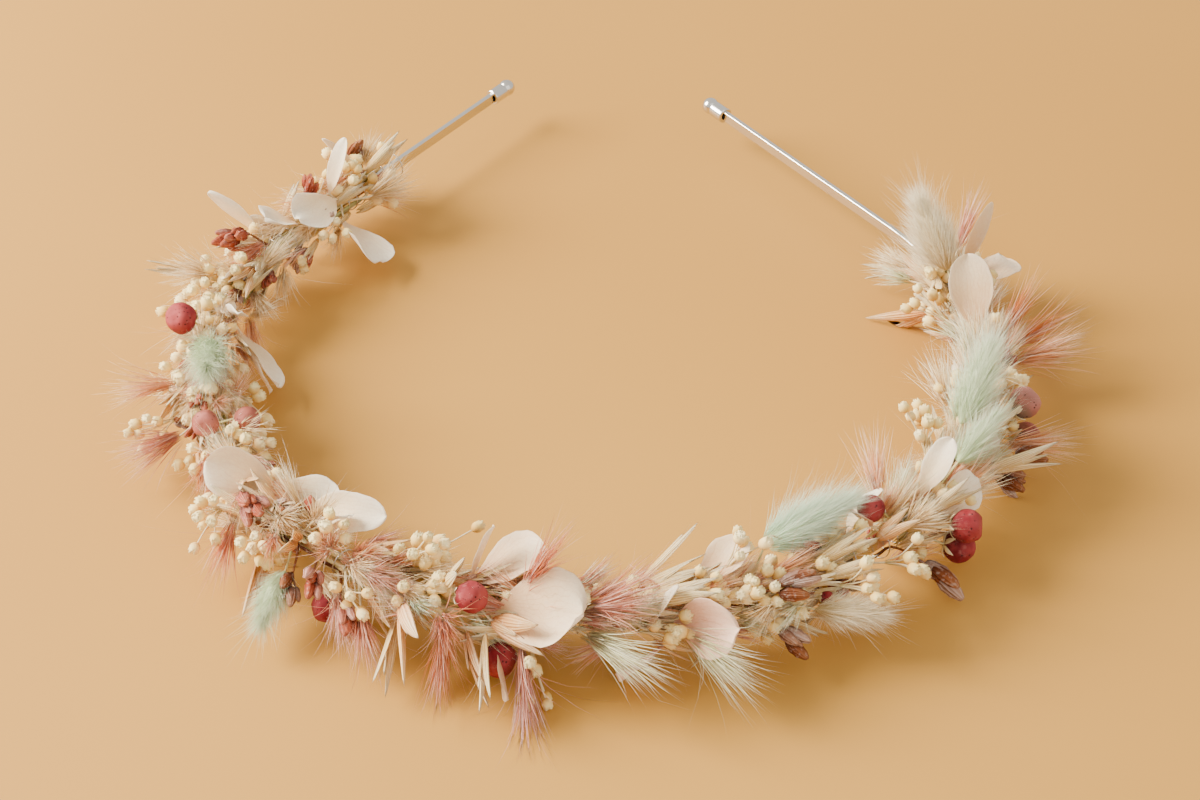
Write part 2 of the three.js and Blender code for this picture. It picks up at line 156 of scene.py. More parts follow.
class Nodes:
    """The node tree of one material, with one method that makes any node."""

    def __init__(self, name: str) -> None:
        """Makes the material and its Principled shader."""
        self.material = bpy.data.materials.new(name)
        self.material.use_nodes = True
        self.tree = self.material.node_tree
        self.shader = self.tree.nodes["Principled BSDF"]

    def add(self, kind: str, settings: dict, inputs: dict, output: object = 0) -> Wire:
        """Makes one node.

        Args:
            kind: the node's type.
            settings: its properties, set before its sockets; "stops" are a ramp's places and
                colours.
            inputs: values or wires by socket name or number.
            output: the name or number of the output wanted.

        Returns:
            That output.
        """
        node = self.tree.nodes.new(kind)
        for key, value in settings.items():
            if key == "stops":
                self._stops(node.color_ramp, value)
            else:
                setattr(node, key, value)
        for key, value in inputs.items():
            self.connect(node.inputs[key], value)
        return Wire(self, node.outputs[output])

    @staticmethod
    def _stops(ramp: bpy.types.ColorRamp, stops: Sequence[tuple[float, Colour]]) -> None:
        """Sets a colour ramp's stops."""
        while len(ramp.elements) < len(stops):
            ramp.elements.new(1.0)
        for element, (place, tint) in zip(ramp.elements, stops):
            element.position = place
            element.color = (*tint, 1.0)

    def connect(self, socket: bpy.types.NodeSocket, value: object) -> None:
        """Links a wire to a socket, or sets a constant on it."""
        if isinstance(value, Wire):
            self.tree.links.new(value.socket, socket)
        elif isinstance(value, tuple) and len(value) == 3 and socket.type == "RGBA":
            socket.default_value = (*value, 1.0)
        else:
            socket.default_value = value

    def set(self, **sockets: object) -> None:
        """Sets the shader's own sockets; an underscore in a name stands for a space."""
        for key, value in sockets.items():
            self.connect(self.shader.inputs[key.replace("_", " ")], value)

    def own(self, name: str) -> Wire:
        """A value that the piece's mesh carries, such as how far along its part a point is."""
        return self.add("ShaderNodeAttribute", {"attribute_name": name}, {}, "Fac")

    def place(self) -> Wire:
        """Object coordinates, which are the crown's own."""
        return self.add("ShaderNodeTexCoord", {}, {}, "Object")

    def noise(self, scale: float, detail: float = 3.0, rough: float = 0.55) -> Wire:
        """A cloudy pattern from 0 to 1, its scale in cells per metre."""
        sockets = {"Vector": self.place(), "Scale": scale, "Detail": detail, "Roughness": rough}
        return self.add("ShaderNodeTexNoise", {}, sockets, "Fac")

    def ramp(self, value: Wire, stops: Sequence[tuple[float, Colour]]) -> Wire:
        """A colour for each value."""
        return self.add("ShaderNodeValToRGB", {"stops": stops}, {"Fac": value}, "Color")

    def mix(self, share: object, first: object, second: object, how: str = "MIX") -> Wire:
        """Two colours mixed by a share."""
        settings = {"data_type": "RGBA", "blend_type": how, "clamp_factor": True}
        return self.add("ShaderNodeMix", settings, {0: share, 6: first, 7: second}, 2)

    def bump(self, height: Wire, strength: float, distance: float) -> None:
        """Raises the surface by a pattern."""
        sockets = {"Height": height, "Strength": strength, "Distance": distance}
        self.connect(self.shader.inputs["Normal"],
            self.add("ShaderNodeBump", {}, sockets, "Normal"))


class Pattern(Enum):
    """What grows on a finish's surface."""

    HAIR = "hair"
    PETAL = "petal"
    RIBBED = "ribbed"
    WRINKLED = "wrinkled"
    SEED = "seed"
    METAL = "metal"


@dataclass(frozen=True)
class Finish:
    """One dried or dyed finish: its colours from root to tip and the pattern on it.

    Attributes:
        name: the material's name.
        root: colour where the part begins.
        middle: colour halfway.
        tip: colour at its end.
        pattern: what grows on the surface.
        spread: how much one part differs from the next.
        rough: roughness.
        glow: how much light passes through, as subsurface weight.
    """

    name: str
    root: Colour
    middle: Colour
    tip: Colour
    pattern: Pattern
    spread: float = 0.35
    rough: float = 0.75
    glow: float = 0.0

    def material(self) -> bpy.types.Material:
        """The finish's material, made once."""
        known = bpy.data.materials.get(self.name)
        return known or self._make()

    def _make(self) -> bpy.types.Material:
        """Builds the nodes."""
        nodes = Nodes(self.name)
        along = nodes.own("along")
        shade = nodes.own("shade")
        cloud = nodes.noise(420.0)
        place = along + (cloud - 0.5) * 0.25
        stops = [(0.0, self.root), (0.5, self.middle), (1.0, self.tip)]
        base = nodes.ramp(place, stops)
        dark = nodes.mix(1.0, base, (0.62, 0.52, 0.44), "MULTIPLY")
        pale = nodes.mix(0.45, base, (1.0, 0.95, 0.88))
        base = nodes.mix((0.5 - shade).at_least(0.0) * 2.0 * self.spread, base, dark)
        base = nodes.mix((shade - 0.5).at_least(0.0) * 2.0 * self.spread, base, pale)
        getattr(self, "_" + self.pattern.value)(nodes, base, along, shade, cloud)
        nodes.set(Subsurface_Weight=self.glow, Subsurface_Scale=0.002, Specular_IOR_Level=0.2)
        nodes.set(Subsurface_Radius=(1.0, 0.55, 0.35))
        return nodes.material

    def _hair(self, nodes: Nodes, base: Wire, along: Wire, shade: Wire, cloud: Wire) -> None:
        """Fine dyed hair: a little shine along it and none across."""
        nodes.set(Base_Color=base, Roughness=cloud * 0.3 + (self.rough - 0.15), Sheen_Weight=0.25)

    def _petal(self, nodes: Nodes, base: Wire, along: Wire, shade: Wire, cloud: Wire) -> None:
        """A thin petal: veins that fan out from its claw, a paler rim and faint blotches."""
        across = nodes.own("across")
        wander = nodes.noise(260.0, 2.0)
        fan = across * 9.0 / (along * 0.6 + 0.45) + (wander - 0.5) * 7.0
        veins = ((fan * 1.6).sine().size()).between(0.0, 0.35)
        web = nodes.add(
            "ShaderNodeTexVoronoi", {"feature": "DISTANCE_TO_EDGE"},
            {"Vector": nodes.place(), "Scale": 900.0}, 0
        ).between(0.0, 0.12)
        faint = (1.0 - veins) * (1.0 - along * 0.6) * 0.42 + (1.0 - web) * 0.14
        rim = across.size().between(0.82, 1.0) * 0.5
        base = nodes.mix(faint, base, nodes.mix(1.0, base, (0.78, 0.58, 0.46), "MULTIPLY"))
        base = nodes.mix(rim, base, self.tip)
        base = nodes.mix(cloud.between(0.52, 0.75) * 0.3, base, (0.72, 0.50, 0.40))
        nodes.set(Base_Color=base, Roughness=cloud * 0.25 + (self.rough - 0.12), Sheen_Weight=0.15)
        nodes.bump(veins * 0.6 + web * 0.3 + cloud * 0.4, 0.35, 0.00012)

    def _ribbed(self, nodes: Nodes, base: Wire, along: Wire, shade: Wire, cloud: Wire) -> None:
        """A papery or woody surface with fine ribs lengthwise, and painted shade in the grooves
        between them.
        """
        across = nodes.own("across")
        ribs = ((across * 17.0 + (cloud - 0.5) * 2.5).sine()).between(-1.0, 0.6)
        fibre = nodes.noise(1500.0, 4.0)
        # Painted shade: the grooves between the ribs, the low places of the bump below, are
        # darkened.
        base = nodes.mix((1.0 - ribs) * 0.62, base,
            nodes.mix(1.0, base, (0.60, 0.42, 0.30), "MULTIPLY"))
        base = nodes.mix(fibre.between(0.5, 0.75) * 0.25, base, (0.95, 0.88, 0.78))
        nodes.set(Base_Color=base, Roughness=fibre * 0.25 + (self.rough - 0.12))
        nodes.bump(ribs * 0.8 + fibre * 0.6, 0.9, 0.0002)

    def _wrinkled(self, nodes: Nodes, base: Wire, along: Wire, shade: Wire, cloud: Wire) -> None:
        """A dried berry's skin: dark specks, dusty bloom and fine creases."""
        coarse = nodes.noise(700.0, 5.0, 0.6)
        cells = nodes.add("ShaderNodeTexVoronoi", {}, {"Vector": nodes.place(), "Scale": 1300.0}, 0)
        specks = (1.0 - cells.between(0.14, 0.30)) * coarse.between(0.44, 0.56)
        base = nodes.mix(cloud.between(0.40, 0.75) * 0.55, base, self.tip)
        base = nodes.mix(coarse.between(0.52, 0.74) * 0.22, base, (0.62, 0.30, 0.27))
        base = nodes.mix(specks * 0.9, base, (0.03, 0.008, 0.01))
        nodes.set(Base_Color=base, Roughness=coarse * 0.3 + (self.rough - 0.15))
        nodes.bump(coarse - specks * 0.5, 0.6, 0.00018)

    def _seed(self, nodes: Nodes, base: Wire, along: Wire, shade: Wire, cloud: Wire) -> None:
        """A dry seed ball or stalk: chalky, with faint mottling."""
        grain = nodes.noise(1800.0, 4.0)
        base = nodes.mix(grain.between(0.5, 0.8) * 0.45, base, (0.62, 0.46, 0.27))
        nodes.set(Base_Color=base, Roughness=grain * 0.2 + (self.rough - 0.1))
        nodes.bump(grain, 0.5, 0.00012)

    def _metal(self, nodes: Nodes, base: Wire, along: Wire, shade: Wire, cloud: Wire) -> None:
        """Polished steel: rolling lines, a few rubbed patches and a trace of warmth."""
        stretched = nodes.add(
            "ShaderNodeMapping", {}, {"Vector": nodes.place(), "Scale": (200.0, 200.0, 6000.0)}, 0
        )
        lines = nodes.add("ShaderNodeTexNoise", {},
            {"Vector": stretched, "Scale": 1.0, "Detail": 3.0}, "Fac")
        rubbed = nodes.noise(90.0, 4.0).between(0.45, 0.7)
        tint = nodes.mix(rubbed * 0.4, base, self.tip)
        nodes.set(Base_Color=tint, Metallic=1.0,
            Roughness=lines * 0.12 + rubbed * 0.10 + (self.rough - 0.08))
        nodes.bump(lines, 0.12, 0.00003)


PETAL_BLUSH = Finish(
    "petal_blush", colour(206, 156, 108), colour(230, 192, 148), colour(244, 222, 188),
    Pattern.PETAL, 0.25, 0.6, 0.12
)
PETAL_WHITE = Finish(
    "petal_white", colour(224, 186, 136), colour(245, 222, 184), colour(253, 242, 218),
    Pattern.PETAL, 0.2, 0.6, 0.12
)
PETAL_PINK = Finish(
    "petal_pink", colour(204, 138, 108), colour(228, 172, 142), colour(244, 206, 178),
    Pattern.PETAL, 0.3, 0.6, 0.12
)
TAIL_MINT = Finish(
    "tail_mint", colour(186, 210, 150), colour(222, 238, 198), colour(252, 250, 228),
    Pattern.HAIR, 0.35, 0.8
)
TAIL_AQUA = Finish(
    "tail_aqua", colour(182, 218, 174), colour(218, 240, 210), colour(252, 250, 230),
    Pattern.HAIR, 0.35, 0.8
)
TAIL_CREAM = Finish(
    "tail_cream", colour(230, 204, 144), colour(250, 236, 196), colour(255, 249, 228),
    Pattern.HAIR, 0.35, 0.8
)
BERRY_DULL = Finish(
    "berry_dull", colour(88, 66, 28), colour(138, 70, 54), colour(186, 112, 100),
    Pattern.WRINKLED, 0.5, 0.65, 0.05
)
GRASS_LILAC = Finish(
    "grass_lilac", colour(206, 96, 46), colour(220, 140, 112), colour(226, 178, 184),
    Pattern.HAIR, 0.95, 0.7
)
TAIL_CORE_MINT = Finish(
    "tail_core_mint", colour(176, 196, 146), colour(204, 220, 180), colour(226, 236, 206),
    Pattern.SEED, 0.4, 0.9
)
TAIL_CORE_CREAM = Finish(
    "tail_core_cream", colour(176, 150, 100), colour(208, 184, 136), colour(228, 210, 170),
    Pattern.SEED, 0.4, 0.9
)
BERRY_RED = Finish(
    "berry_red", colour(92, 16, 26), colour(130, 30, 40), colour(166, 70, 70), Pattern.WRINKLED,
    0.5, 0.68, 0.03
)
SEED_CREAM = Finish(
    "seed_cream", colour(222, 170, 80), colour(248, 214, 130), colour(255, 236, 172),
    Pattern.SEED, 0.35, 0.8
)
STALK_STRAW = Finish(
    "stalk_straw", colour(196, 176, 110), colour(228, 208, 158), colour(242, 228, 190),
    Pattern.SEED, 0.5, 0.75
)
STALK_GREEN = Finish(
    "stalk_green", colour(142, 138, 70), colour(180, 172, 108), colour(214, 202, 148),
    Pattern.SEED, 0.5, 0.75
)
OAT_CREAM = Finish(
    "oat_cream", colour(228, 180, 100), colour(248, 216, 150), colour(254, 238, 196),
    Pattern.RIBBED, 0.3, 0.6, 0.15
)
HUSK_PEACH = Finish(
    "husk_peach", colour(232, 150, 82), colour(248, 192, 128), colour(254, 222, 172),
    Pattern.RIBBED, 0.4, 0.6, 0.15
)
POD_BROWN = Finish(
    "pod_brown", colour(88, 44, 22), colour(138, 78, 44), colour(180, 122, 80), Pattern.RIBBED,
    0.6, 0.87
)
POD_ROSE = Finish(
    "pod_rose", colour(112, 42, 28), colour(168, 76, 52), colour(206, 120, 90), Pattern.RIBBED,
    0.5, 0.87
)
GRASS_CORAL = Finish(
    "grass_coral", colour(198, 84, 28), colour(226, 120, 60), colour(244, 182, 134), Pattern.HAIR,
    0.95, 0.7
)
GRASS_MAUVE = Finish(
    "grass_mauve", colour(194, 88, 56), colour(220, 136, 100), colour(244, 202, 174),
    Pattern.HAIR, 0.95, 0.7
)
GRASS_PEACH = Finish(
    "grass_peach", colour(228, 128, 66), colour(246, 174, 112), colour(253, 218, 176),
    Pattern.HAIR, 0.95, 0.7
)
GRASS_GREEN = Finish(
    "grass_green", colour(196, 196, 124), colour(228, 228, 176), colour(250, 246, 220),
    Pattern.HAIR, 0.95, 0.7
)
GRASS_ORANGE = Finish(
    "grass_orange", colour(206, 92, 18), colour(228, 128, 36), colour(246, 182, 92), Pattern.HAIR,
    0.95, 0.7
)
GRASS_CREAM = Finish(
    "grass_cream", colour(236, 190, 112), colour(250, 220, 158), colour(255, 242, 204),
    Pattern.HAIR, 0.95, 0.7
)
STEEL = Finish("steel_polished", colour(222, 220, 216), colour(222, 220, 216),
    colour(206, 198, 188), Pattern.METAL, 0.0, 0.2)
WIRE = Finish("wire_drawn", colour(206, 200, 190), colour(206, 200, 190), colour(180, 170, 156),
    Pattern.METAL, 0.0, 0.3)


# ---------------------------------------------------------------- templates and bunches


class Template:
    """A small unit shape made once with mesh operators, then laid many times.

    Its Z runs from 0 to 1 along the part, and X and Y are on or inside the unit circle across it.
    """

    def __init__(self, name: str, shape: Callable[[bmesh.types.BMesh], None]) -> None:
        """Makes the unit mesh.

        Args:
            name: what the shape is.
            shape: fills an empty bmesh with the unit shape.
        """
        work = bmesh.new()
        shape(work)
        bmesh.ops.recalc_face_normals(work, faces=work.faces)
        for face in work.faces:
            face.smooth = True
        self.name = name
        self.mesh = bpy.data.meshes.new(name)
        work.to_mesh(self.mesh)
        work.free()
        count = len(self.mesh.vertices)
        flat = np.zeros(count * 3, np.float32)
        self.mesh.vertices.foreach_get("co", flat)
        self.co = flat.reshape(-1, 3).astype(float)
        for layer, values in (("along", self.co[:, 2]), ("across", self.co[:, 0]),
            ("shade", np.zeros(count))):
            self.mesh.attributes.new(layer, "FLOAT", "POINT").data.foreach_set("value",
                values.astype(np.float32))
        self._tinted: dict[int, bpy.types.Mesh] = {}

    def tinted(self, finish: int) -> bpy.types.Mesh:
        """A copy of the mesh whose faces take one of the piece's materials."""
        if finish not in self._tinted:
            copy = self.mesh.copy()
            copy.polygons.foreach_set("material_index", [finish] * len(copy.polygons))
            self._tinted[finish] = copy
        return self._tinted[finish]


def rod_shape(sides: int, rows: int, even: bool = True) -> Callable[[bmesh.types.BMesh], None]:
    """A closed rod with a pole at each end.

    Args:
        sides: faces round it.
        rows: steps along it.
        even: true for even steps, false for steps that crowd towards the ends.

    Returns:
        A function that fills an empty bmesh.
    """

    def fill(work: bmesh.types.BMesh) -> None:
        """Makes a ball and draws it out into a rod."""
        bmesh.ops.create_uvsphere(work, u_segments=sides, v_segments=rows, radius=1.0)
        for vert in work.verts:
            ring = math.hypot(vert.co.x, vert.co.y)
            turn = math.acos(max(-1.0, min(1.0, -vert.co.z)))
            share = turn / math.pi if even else (1 - math.cos(turn)) / 2
            grow = 1 / ring if ring > 1e-4 else 0.0
            vert.co = Vector((vert.co.x * grow, vert.co.y * grow, share))

    return fill


def ball_shape(work: bmesh.types.BMesh) -> None:
    """A berry: a fine ball from 0 to 1 along Z."""
    bmesh.ops.create_icosphere(work, subdivisions=4, radius=1.0)
    for vert in work.verts:
        vert.co.z = (vert.co.z + 1) / 2


def seed_shape(work: bmesh.types.BMesh) -> None:
    """A seed ball with a ragged crown: the faces of its top ring are drawn out into teeth."""
    bmesh.ops.create_uvsphere(work, u_segments=12, v_segments=8, radius=1.0)
    top = [f for f in work.faces if 0.5 < f.calc_center_median().z < 0.85]
    drawn = bmesh.ops.extrude_discrete_faces(work, faces=top[::2])["faces"]
    for face in drawn:
        middle = face.calc_center_median()
        for vert in face.verts:
            vert.co = middle + (vert.co - middle) * 0.45 + Vector(
                (middle.x * 0.10, middle.y * 0.10, 0.30))
    for vert in work.verts:
        vert.co.z = (vert.co.z + 1) / 2


HAIR = Template("hair_unit", rod_shape(3, 4))
STALK = Template("stalk_unit", rod_shape(5, 8))
BLADE = Template("blade_unit", rod_shape(8, 8))
GLUME = Template("glume_unit", rod_shape(16, 12))
LEAF = Template("petal_unit", rod_shape(28, 18, even=False))
POD = Template("pod_unit", rod_shape(20, 10, even=False))
BERRY = Template("berry_unit", ball_shape)
SEED = Template("seed_unit", seed_shape)


@dataclass(frozen=True)
class Frame:
    """Where a head stands: its start and its three directions.

    Attributes:
        start: where the head begins.
        across: to its side.
        through: out of the strip, through the head.
        ahead: the way it points.
    """

    start: Array
    across: Array
    through: Array
    ahead: Array

    def spot(self, x: float, y: float, z: float) -> Array:
        """A point given across, through and ahead."""
        return self.start + self.across * x + self.through * y + self.ahead * z

    def way(self, x: float, y: float, z: float) -> Array:
        """A direction given across, through and ahead."""
        return unit(self.across * x + self.through * y + self.ahead * z)


def framed(start: Array, ahead: Array, out_of: Array, spin: float = 0.0) -> Frame:
    """A head's frame.

    Args:
        start: where it begins.
        ahead: the way it points.
        out_of: the direction out of the strip.
        spin: its turn about its own middle, in radians.

    Returns:
        The frame.
    """
    ahead = unit(ahead)
    across = unit(np.cross(out_of, ahead))
    through = np.cross(ahead, across)
    turned = across * math.cos(spin) + through * math.sin(spin)
    return Frame(start, turned, np.cross(ahead, turned), ahead)


class Bunch:
    """A piece being put together from many laid templates."""

    def __init__(self, name: str) -> None:
        """Starts an empty piece."""
        self.name = name
        self.work = bmesh.new()
        for layer in ("along", "across", "shade"):
            self.work.verts.layers.float.new(layer)
        self.finishes: list[Finish] = []
        self.rng = np.random.default_rng(zlib.crc32(name.encode()))

    def _index(self, finish: Finish) -> int:
        """The number of a finish among the piece's materials."""
        if finish not in self.finishes:
            self.finishes.append(finish)
        return self.finishes.index(finish)

    def put(self, template: Template, coords: Array, finish: Finish,
        shade: Optional[float] = None) -> None:
        """Adds one part.

        Args:
            template: its unit shape.
            coords: where each of the template's vertices goes.
            finish: its finish.
            shade: its own shade, from 0 to 1, or none for a random one.
        """
        mesh = template.tinted(self._index(finish))
        coords[:, 2] = np.maximum(coords[:, 2], TABLE_GAP)
        mesh.vertices.foreach_set("co", coords.astype(np.float32).ravel())
        value = self.rng.random() if shade is None else shade
        mesh.attributes["shade"].data.foreach_set("value", np.full(len(coords), value, np.float32))
        self.work.from_mesh(mesh)

    def lay(
        self,
        template: Template,
        points: Array,
        out_of: Array,
        wide: Callable[[Array], Array],
        deep: Callable[[Array], Array],
        finish: Finish,
        shade: Optional[float] = None,
        rise: Optional[Callable[[Array, Array], Array]] = None,
        spin: float = 0.0,
    ) -> None:
        """Lays a template along a line.

        Args:
            template: the unit shape.
            points: the line's points, evenly spaced.
            out_of: the direction that its through side faces.
            wide: half its width at each share of its length, in metres.
            deep: half its depth.
            finish: its finish.
            shade: its shade, or none for a random one.
            rise: how far a point lifts through it, from its place across and along.
            spin: its turn about the line.
        """
        share = template.co[:, 2]
        steps = np.linspace(0, 1, len(points))
        middle = np.stack([np.interp(share, steps, points[:, i]) for i in range(3)], 1)
        tangents = unit(np.gradient(points, axis=0))
        ahead = unit(np.stack([np.interp(share, steps, tangents[:, i]) for i in range(3)], 1))
        across = unit(np.cross(out_of, ahead))
        through = np.cross(ahead, across)
        if spin:
            across, through = (
                across * math.cos(spin) + through * math.sin(spin),
                through * math.cos(spin) - across * math.sin(spin),
            )
        x = template.co[:, 0] * wide(share)
        y = template.co[:, 1] * deep(share)
        if rise is not None:
            y = y + rise(template.co[:, 0], share)
        self.put(template, middle + across * x[:, None] + through * y[:, None], finish, shade)

    def strands(
        self,
        starts: Array,
        ways: Array,
        lengths: Array,
        radius: float,
        finish: Finish,
        bend: float = 0.15,
        template: Template = HAIR,
        taper: float = 1.0,
        droop: float = 0.0,
        shades: Optional[Array] = None,
    ) -> None:
        """Adds many fine hairs or awns at once.

        Args:
            starts: where each begins.
            ways: the way each sets off.
            lengths: how long each is.
            radius: half the thickness at the root.
            finish: their finish.
            bend: how far an end strays, as a share of the length.
            template: the unit shape of one.
            taper: how soon they thin out.
            droop: how far an end sags, as a share of the length.
            shades: their shades, or none for random ones.
        """
        count = len(starts)
        ways = unit(ways)
        stray = self.rng.normal(size=(count, 3)) * bend
        stray -= ways * np.sum(stray * ways, 1, keepdims=True)
        stray -= UP * droop
        side = unit(np.cross(ways, unit(self.rng.normal(size=(count, 3)))))
        other = np.cross(ways, side)
        share = template.co[:, 2][None, :, None]
        thick = radius * np.maximum(1 - template.co[:, 2], 0.12) ** taper
        x = (template.co[:, 0] * thick)[None, :, None]
        y = (template.co[:, 1] * thick)[None, :, None]
        reach = lengths[:, None, None]
        coords = starts[:, None] + ways[:, None] * reach * share + stray[:, None] * reach * share**2
        coords = coords + side[:, None] * x + other[:, None] * y
        for i in range(count):
            self.put(template, coords[i], finish, None if shades is None else float(shades[i]))

    def finish(self, body: Optional[str], slot: str, nodes: Sequence[str] = ()) -> bpy.types.Object:
        """Makes the piece's object.

        Args:
            body: the body that it rides on, or none for a piece that rides on no body.
            slot: not used.
            nodes: the fixed nodes that it stands for.

        Returns:
            The object.
        """
        mesh = bpy.data.meshes.new(self.name)
        self.work.to_mesh(mesh)
        self.work.free()
        for finish in self.finishes:
            mesh.materials.append(finish.material())
        piece = bpy.data.objects.new(self.name, mesh)
        bpy.context.scene.collection.objects.link(piece)
        if nodes:
            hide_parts(*nodes)
        if body:
            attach(piece, body)
        LOG.info("%s: %d faces", self.name, len(mesh.polygons))
        return piece


# ---------------------------------------------------------------- the band and where sprigs stand


@dataclass(frozen=True)
class Spot:
    """A place on the strip and its directions.

    Attributes:
        place: on the strip's middle line.
        forward: along it, towards the right end.
        outward: away from the head.
    """

    place: Array
    forward: Array
    outward: Array

    def around(self, roll: float) -> Array:
        """A direction square to the strip: 0 outward, 90 up, 180 towards the head, 270 down."""
        turn = math.radians(roll)
        return self.outward * math.cos(turn) + UP * math.sin(turn)


@dataclass(frozen=True)
class Band:
    """The springy strip's line and the fits that the sprigs take from it.

    Attributes:
        radius: of the round part.
        shoulder: half the angle of the round part, in degrees.
        left_end: the strip's left end, measured along it from its middle.
        right_end: its right end.
        flex: where it hinges, each side.
        pitch: of the binding.
        stem_ring: how far a bound stem lies from the strip's middle.
        reach: how far the binding reaches.
        gap: between touching pieces.
        tucked: stem length under the binding.
    """

    radius: float = 70 * MM
    shoulder: float = 125.5
    left_end: float = -216.3 * MM
    right_end: float = 207.3 * MM
    flex: float = 49 * MM
    pitch: float = 7 * MM
    stem_ring: float = 1.83 * MM
    reach: float = 3.46 * MM
    gap: float = 0.3 * MM
    tucked: float = 6 * MM
    first_turn: int = -26
    last_turn: int = 20

    def centre(self) -> Array:
        """The middle of the round part, from the two hinges."""
        left, right = (np.array(joint["pos_m"], float) for joint in frame["joints"])
        middle = (left + right) / 2
        return middle + np.array([0, self.radius * math.cos(self.flex / self.radius), 0])

    def station(self, along: float) -> Spot:
        """The place and directions at a distance along the strip from its middle."""
        limit = math.radians(self.shoulder)
        angle = max(-limit, min(limit, along / self.radius))
        forward = np.array([math.cos(angle), math.sin(angle), 0.0])
        place = np.array([math.sin(angle), -math.cos(angle), 0.0]) * self.radius
        place = place + forward * (along - angle * self.radius) + self.centre()
        return Spot(place, forward, np.cross(forward, UP))

    def body(self, along: float) -> str:
        """The body that a place along the strip belongs to."""
        if abs(along) < self.flex:
            return "middle"
        return "left_arm" if along < 0 else "right_arm"

    def line(self, start: float, end: float, count: int, roll: float = 0.0,
        out: float = 0.0) -> Array:
        """Points along the strip.

        Args:
            start: where they begin.
            end: where they end.
            count: how many.
            roll: direction square to the strip, in degrees.
            out: how far out they lie in that direction.

        Returns:
            The points.
        """
        spots = [self.station(along) for along in np.linspace(start, end, count)]
        return np.array([spot.place + spot.around(roll) * out for spot in spots])


BAND = Band()


class Kind(Enum):
    """What grows on a stem, with its usual length, width and depth in millimetres and its slot."""

    PETAL = (13, 10, 0.6, "petal")
    TAIL = (15, 8, 8, "bunny_tail")
    BERRY = (6.6, 6.3, 6.3, "berry")
    BROOM = (10, 7, 5, "broom_bloom")
    OAT = (15, 3, 2.2, "oat")
    HUSK = (15, 4.5, 2.6, "husk")
    TUFT = (14, 5, 4, "dyed_grass")
    PODS = (10, 6.5, 5, "seed_pod")

    @property
    def slot(self) -> str:
        """The name of the material slot that goes with it."""
        return self.value[3]


USUAL_FINISH = {
    Kind.PETAL: PETAL_BLUSH,
    Kind.TAIL: TAIL_MINT,
    Kind.BERRY: BERRY_RED,
    Kind.BROOM: SEED_CREAM,
    Kind.OAT: OAT_CREAM,
    Kind.HUSK: HUSK_PEACH,
    Kind.TUFT: GRASS_CORAL,
    Kind.PODS: POD_BROWN,
}


@dataclass(frozen=True)
class Head:
    """One head on a stem; a size or angle of none is the kind's or the stem's own. Angles in
    degrees.

    Attributes:
        roll: which way round the strip it leans out.
        lean: how far it leans from the strip.
        long: its length in millimetres.
        wide: its width.
        deep: its depth.
        spin: its turn about its own middle.
        rests: true where it lies on the table.
        finish: its finish, or none for the sprig's.
        toward: the roll that it leans to, where that isn't the roll it starts at.
        out: how far from the strip's middle it starts, in millimetres, or none for clear of the
            binding.
    """

    roll: Optional[float] = None
    lean: float = 0.0
    long: Optional[float] = None
    wide: Optional[float] = None
    deep: Optional[float] = None
    spin: float = 0.0
    rests: bool = False
    finish: Optional[Finish] = None
    toward: Optional[float] = None
    out: Optional[float] = None


@dataclass
class Sprig:
    """A stem bound on the strip, with its heads.

    Attributes:
        name: the fixed node that it stands for, or a new name.
        kind: what grows on it.
        turn: the turn of binding that holds it.
        roll: which side of the strip it lies on, in degrees.
        heads: its heads.
        back: true where it points towards the left end.
        finish: its finish, or none for the kind's usual one.
        extra: true where no fixed node stands for it.
    """

    name: str
    kind: Kind
    turn: float
    roll: float
    heads: list[Head]
    back: bool = False
    finish: Optional[Finish] = None
    extra: bool = False

    def way(self) -> int:
        """1 where it points to the right end, -1 to the left."""
        return -1 if self.back else 1

    def along(self) -> float:
        """Where it leaves the strip."""
        return BAND.pitch * (self.turn + self.roll / 360 + 0.5)

    def body(self) -> str:
        """The body that it rides on."""
        return BAND.body(self.along())

    def sized(self, head: Head) -> Head:
        """The head with its kind's sizes filled in, and its lean where it rests on the table."""
        long, wide, deep, _ = self.kind.value
        head = replace(
            head,
            roll=self.roll if head.roll is None else head.roll,
            long=head.long or long,
            wide=head.wide or wide,
            deep=head.deep or deep,
            finish=head.finish or self.finish or USUAL_FINISH[self.kind],
        )
        if head.rests:
            leans = np.linspace(-5, 75, 81)
            tips = [self.frame(replace(head, lean=lean)).spot(0, 0,
                    head.long * 0.6 * MM)[2] for lean in leans]
            low = [lean for lean, tip in zip(leans, tips) if tip > head.deep * 0.5 * MM]
            head = replace(head, lean=max(low, default=0.0))
        return head

    def frame(self, head: Head) -> Frame:
        """The frame at which a sized head begins."""
        spot = BAND.station(self.along())
        out_of = spot.around(head.roll)
        lift = BAND.reach + BAND.gap + head.deep / 2 * MM if head.out is None else head.out * MM
        start = spot.place + out_of * lift + spot.forward * self.way() * (lift
            - BAND.stem_ring) * 0.5
        lean = math.radians(head.lean)
        leaning = out_of if head.toward is None else spot.around(head.toward)
        ahead = spot.forward * self.way() * math.cos(lean) + leaning * math.sin(lean)
        return framed(start, ahead, leaning, math.radians(head.spin))

    def stem(self, head_frame: Frame) -> Array:
        """Points from under the binding up to a head, and a little way into it."""
        along = self.along()
        shares = (1.0, 0.5, 0.2)
        held = []
        for share in shares:
            spot = BAND.station(along - self.way() * BAND.tucked * share)
            held.append(spot.place + spot.around(self.roll) * BAND.stem_ring)
        return smooth_line([*held, head_frame.start, head_frame.spot(0, 0, 1.2 * MM)], 14)


